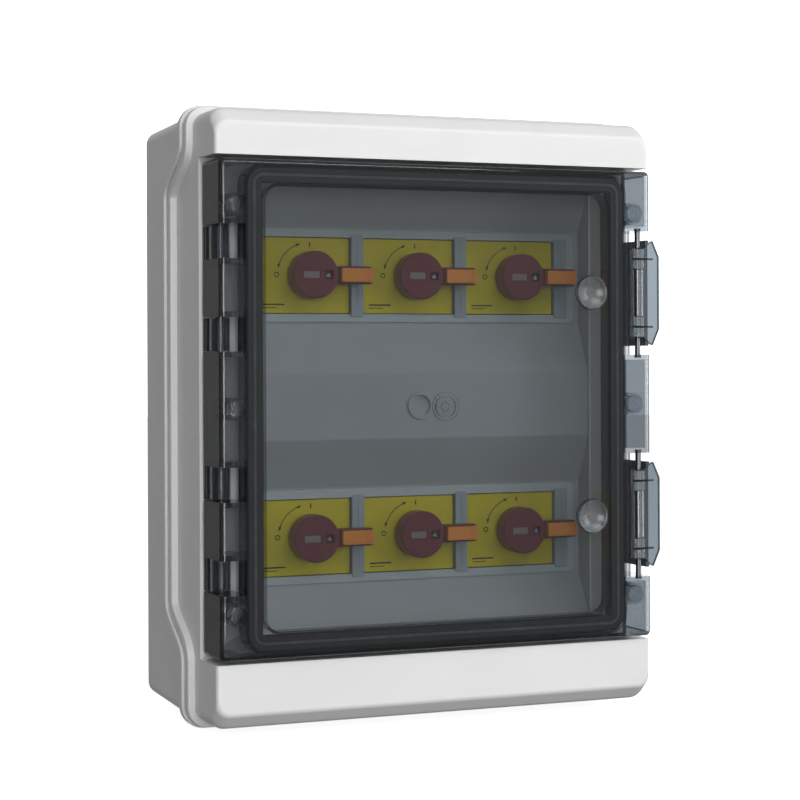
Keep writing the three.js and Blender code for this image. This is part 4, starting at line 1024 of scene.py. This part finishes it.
def make_cover_screw(number, place):
    low, high = span(f"cover_screw_{number}")
    x, z = place.x, place.z
    turns = circle(1, 0, 0, 32)
    long = high.y - low.y
    radii = [(0, 3.6), (0.35, 4.1), (1.0, SCREW_HEAD), (3.6, SCREW_HEAD), (3.65, SCREW_SHANK),
             (long - 3, SCREW_SHANK), (long, 0.8)]
    rings = [[(x + r * u, low.y + depth, z + r * v) for u, v in turns] for depth, r in radii]
    screw = loft("cover_screw_fine_%d" % number, rings)
    across = SCREW_HEAD - 1.4
    cut(
        screw,
        box("slot", x - across, x + across, low.y - 1, low.y + 1.6, z - 0.6, z + 0.6),
        box("slot", x - 0.6, x + 0.6, low.y - 1, low.y + 1.6, z - across, z + across),
    )
    return hand_over(dressed(screw, ZINC), "enclosure", "zinc_steel", f"cover_screw_{number}")


# ------------------------------------------------------------------ isolators
def make_plate(number):
    low, high = span(f"isolator_plate_{number}")
    knob = knob_places[number - 1]
    plate = prism("plate_fine_%d" % number, "y", rounded(rectangle(low.x, high.x, low.z, high.z), 0.9, 4),
                  low.y, high.y)
    cut(plate, bar("hole", "y", 4.3, low.y - 1, high.y + 1, knob.x, knob.z, 32))
    soften(plate, 0.22, 2)
    dressed(plate, YELLOW)
    hand_over(plate, "enclosure", "plate_yellow", f"isolator_plate_{number}")
    make_print(number, low, high, knob)


def arc_band(radius, width, first, last, x, z, steps=26):
    turns = [math.radians(first + (last - first) * step / steps) for step in range(steps + 1)]
    outer = [(x + (radius + width / 2) * math.cos(t), z + (radius + width / 2) * math.sin(t)) for t in turns]
    inner = [(x + (radius - width / 2) * math.cos(t), z + (radius - width / 2) * math.sin(t)) for t in turns]
    return outer + inner[::-1]


def arrow(radius, at, heading, x, z, size=1.5):
    """A small arrowhead on a circle, pointing along it."""
    turn = math.radians(at)
    tip = Vector((x + radius * math.cos(turn), z + radius * math.sin(turn)))
    along = Vector((-math.sin(turn), math.cos(turn))) * heading
    across = Vector((math.cos(turn), math.sin(turn)))
    points = [tip + along * size * 1.4, tip - along * size * 0.5 + across * size * 0.62,
              tip - along * size * 0.5 - across * size * 0.62]
    return [tuple(point) for point in points]


def make_print(number, low, high, knob):
    """Turning marks: an arc with an arrowhead at each end, a stroke for on, a ring for off and two rules."""
    x, z = knob.x, knob.z
    outlines = [
        arc_band(19.2, 0.5, 112, 160, x, z),
        arrow(19.2, 110, -1, x, z),
        arrow(19.2, 162, 1, x, z),
        rectangle(x + 0.7, x + 1.5, z + 17.0, z + 19.6),
        rectangle(low.x + 3.4, low.x + 17.5, low.z + 4.6, low.z + 5.5),
        rectangle(low.x + 3.4, low.x + 12.5, low.z + 2.9, low.z + 3.4),
    ]
    face = low.y
    marks = [prism("mark", "y", outline, face - 0.06, face - 0.01) for outline in outlines]
    ring = prism("mark", "y", circle(1.6, x - 19.6, z + 0.4, 28), face - 0.06, face - 0.01)
    marks.append(cut(ring, bar("hole", "y", 1.05, face - 1, face + 1, x - 19.6, z + 0.4, 28)))
    bm = bmesh.new()
    for mark in marks:
        bm.from_mesh(mark.data)
        bpy.data.objects.remove(mark)
    mesh = bpy.data.meshes.new("plate_marks_%d" % number)
    bm.to_mesh(mesh)
    bm.free()
    piece = new_piece("plate_marks_%d" % number, mesh)
    hand_over(dressed(piece, INK), "enclosure", "plate_yellow")


def make_knob(number, place):
    """A round knob with a lever let into its side, a pointer mark and a padlock hole."""
    low, high = span(f"isolator_knob_{number}")
    x, z = place.x, place.z
    front = low.y
    back = front + KNOB_HEIGHT
    turns = circle(1, 0, 0, 72)
    profile = [(0.0, 12.9), (0.15, 13.35), (0.5, 13.75), (1.1, KNOB_RADIUS), (KNOB_HEIGHT, KNOB_RADIUS)]
    rings = [[(x + r * u, front + y, z + r * v) for u, v in turns] for y, r in profile]
    knob = loft("knob_fine_%d" % number, rings)
    spindle = bar("spindle", "y", 4, back - 1, high.y, x, z, 28)
    lever_front = front + LEVER_SUNK
    lever = prism("lever", "y", rounded([
        (x, z - 5.5), (x + LEVER_REACH, z - 5.2), (x + LEVER_REACH, z + 5.2), (x, z + 5.5),
    ], [0, 1.2, 1.2, 0], 6), lever_front, lever_front + LEVER_THICKNESS)
    soften(lever, 0.7, 3)
    join(knob, spindle, lever)
    slide_way = box(
        "slide_way", x + SLIDE_FROM - GAP, FAR, lever_front - 1, lever_front + LEVER_THICKNESS * 0.6,
        z - SLIDE_WIDTH / 2 - GAP, z + SLIDE_WIDTH / 2 + GAP,
    )
    lock_hole = prism("lock_hole", "y", rounded(rectangle(x + 5.2, x + 10.6, z - 2.7, z + 2.7), 0.6, 3),
                      front - 1, front + 4)
    panel = prism("panel", "y", rounded(rectangle(x - 8.4, x + 2.6, z - 2.7, z + 2.7), 0.5, 3),
                  front - 1, front + 0.35)
    cut(knob, lock_hole, slide_way, panel)
    dressed(knob, KNOB_RED)
    hand_over(knob, f"knob_{number}", "knob_red", f"isolator_knob_{number}")
    outline = rounded(rectangle(x - 7.8, x + 2.0, z - 2.0, z + 2.0), 0.5, 3)
    pointer = prism("knob_pointer_%d" % number, "y", outline, front + 0.05, front + 0.34)
    soften(pointer, 0.1, 2)
    hand_over(dressed(pointer, LABEL_GREY), f"knob_{number}", "knob_red")
    tongue = prism("lock_tongue_%d" % number, "y", rounded([
        (x + 5.8, z - 0.9), (x + 9.2, z - 1.7), (x + 8.2, z + 1.3),
    ], 0.3, 3), front + 0.5, front + 3.6)
    hand_over(dressed(tongue, ZINC), f"knob_{number}", "zinc_steel")


def make_slide(number, place):
    low, high = span(f"lock_slide_{number}")
    x, z = place.x, place.z
    slide = prism("slide_fine_%d" % number, "y", rounded(rectangle(low.x, high.x, low.z, high.z), 0.9, 4),
                  low.y, high.y)
    soften(slide, 0.45, 3)
    grooves = []
    for n in range(3):
        end = high.x - 1.9 - 1.5 * n
        grooves.append(box("groove", end - 0.5, end, low.y - 1, low.y + 0.3, low.z - 1, high.z + 1))
    cut(slide, *grooves)
    return hand_over(dressed(slide, SLIDE_ORANGE), f"lock_slide_{number}", "slide_orange",
                     f"lock_slide_{number}")


def make_strip(number):
    """A snap-in blank: a face that laps the window's rim, with a thin groove down its middle, and a nose
    behind it.
    """
    low, high = span(f"blank_strip_{number}")
    nose = WINDOW_HEIGHT / 2 - GAP
    z = (low.z + high.z) / 2
    strip = prism("strip_fine_%d" % number, "y", rounded(rectangle(low.x, high.x, low.z, high.z), 0.6, 3),
                  low.y, low.y + 0.9)
    soften(strip, 0.25, 2)
    join(strip, box("nose", low.x, high.x, low.y + 0.5, high.y, z - nose, z + nose))
    middle_x = (low.x + high.x) / 2
    cut(strip, box("line", middle_x - 0.25, middle_x + 0.25, low.y - 1, low.y + 0.25,
                   z - nose + 2, z + nose - 2))
    return hand_over(dressed(strip, MODULE_GREY), "enclosure", "module_grey", f"blank_strip_{number}")


def dress_inner_nodes():
    """Pieces inside the closed enclosure stay as they are and get their finishes."""
    finishes = {"din_rail": ZINC, "rail_screw": ZINC, "terminal_bar": BRASS, "terminal_holder": NYLON_GREEN,
                "isolator_body": MODULE_GREY}
    for name, node in frame["nodes"].items():
        for start, material in finishes.items():
            if name.startswith(start):
                node.data.materials.clear()
                node.data.materials.append(material)


# ------------------------------------------------------------------ studio
def make_stage():
    look = Look("studio_floor")
    cloud = look.noise(400, 2)
    material = look.done(look.solid({
        "Base Color": look.between(rgb(0.86, 0.86, 0.86), rgb(0.90, 0.90, 0.90), cloud),
        "Roughness": 0.9,
        "Emission Color": rgb(1, 1, 1),
        "Emission Strength": 0.80,
    }))
    low = cad_box[0]
    size = 6.0
    floor = loft("studio_floor", [
        [(x, y, low.z + drop) for x, y in circle(size, 0, 0, 96)] for drop in (-0.02, 0)
    ])
    floor.data.materials.append(material)
    floor.visible_diffuse = False
    floor.visible_glossy = False


def soft_light(name, place, target, width, height, power, colour=(1, 1, 1)):
    lamp = bpy.data.lights.new(name, "AREA")
    lamp.shape = "RECTANGLE"
    lamp.size = width
    lamp.size_y = height
    lamp.energy = power
    lamp.color = colour
    light = bpy.data.objects.new(name, lamp)
    bpy.context.scene.collection.objects.link(light)
    light.location = place
    light.rotation_euler = (Vector(target) - Vector(place)).to_track_quat("-Z", "Y").to_euler()
    return light


def make_lights():
    soft_light("right_softbox", (1.75, -1.4, 0.25), (0, -0.1, 0), 0.9, 1.6, 27)
    soft_light("high_softbox", (0.3, -1.9, 1.6), (0, -0.1, 0), 1.6, 1.0, 22)
    soft_light("front_fill", (-0.6, -2.1, 0.1), (0, -0.1, 0), 0.9, 1.0, 19)


def make_world():
    """Pale studio surroundings, white on the side that stands behind the box."""
    world = bpy.data.worlds.new("studio")
    bpy.context.scene.world = world
    world.use_nodes = True
    look = Look.__new__(Look)
    look.tree = world.node_tree
    look.tree.nodes.clear()
    direction = look.node("ShaderNodeTexCoord", out="Generated")
    away = look.node(
        "ShaderNodeVectorMath", {"operation": "DOT_PRODUCT"},
        {0: direction, 1: (math.sin(VIEW_TURN), math.cos(VIEW_TURN), 0.0)}, out="Value",
    )
    height = look.node(
        "ShaderNodeVectorMath", {"operation": "DOT_PRODUCT"}, {0: direction, 1: (0.0, 0.0, 0.5)}, out="Value",
    )
    tone = look.ramp(away, (0.0, 0.15), (0.86, 0.18), (0.94, 1.0))
    ground = look.ramp(height + 0.5, (0.30, 0.55), (0.56, 1.0))
    sky = look.node("ShaderNodeBackground", None, {"Color": tone, "Strength": ground * 1.8})
    look.node("ShaderNodeOutputWorld", None, {"Surface": sky})


VIEW_TURN = math.radians(23)
VIEW_ROLL = -0.0039
VIEW_PLACE = (-0.4962, -1.2471, 0.0356)
VIEW_LENS = 93.73
VIEW_SHIFT = -0.0571


def make_camera():
    data = bpy.data.cameras.new("camera")
    data.sensor_width = 36
    data.lens = VIEW_LENS
    data.shift_y = VIEW_SHIFT
    data.clip_start = 0.01
    camera = bpy.data.objects.new("camera", data)
    bpy.context.scene.collection.objects.link(camera)
    turn = Matrix.Rotation(-VIEW_TURN, 4, "Z") @ Matrix.Rotation(math.pi / 2, 4, "X")
    camera.matrix_world = Matrix.Translation(VIEW_PLACE) @ turn @ Matrix.Rotation(VIEW_ROLL, 4, "Z")
    bpy.context.scene.camera = camera


make_camera()
make_world()
make_lights()
make_stage()
bpy.context.scene.view_settings.view_transform = "Standard"
bpy.context.scene.cycles.transparent_max_bounces = 32

make_cover()
make_base()
make_cover_seal()
make_door()
make_door_seal()
for index, height in enumerate(hinge_heights):
    make_hinge_clip(index + 1, height)
for index, latch_place in enumerate(latch_places):
    make_latch(index + 1, latch_place)
    make_latch_pin(index + 1)
for index, screw_place in enumerate(screw_places):
    make_cover_screw(index + 1, screw_place)
for index, knob_place in enumerate(knob_places):
    make_plate(index + 1)
    make_knob(index + 1, knob_place)
    make_slide(index + 1, knob_place)
for index in range(8):
    make_strip(index + 1)
dress_inner_nodes()
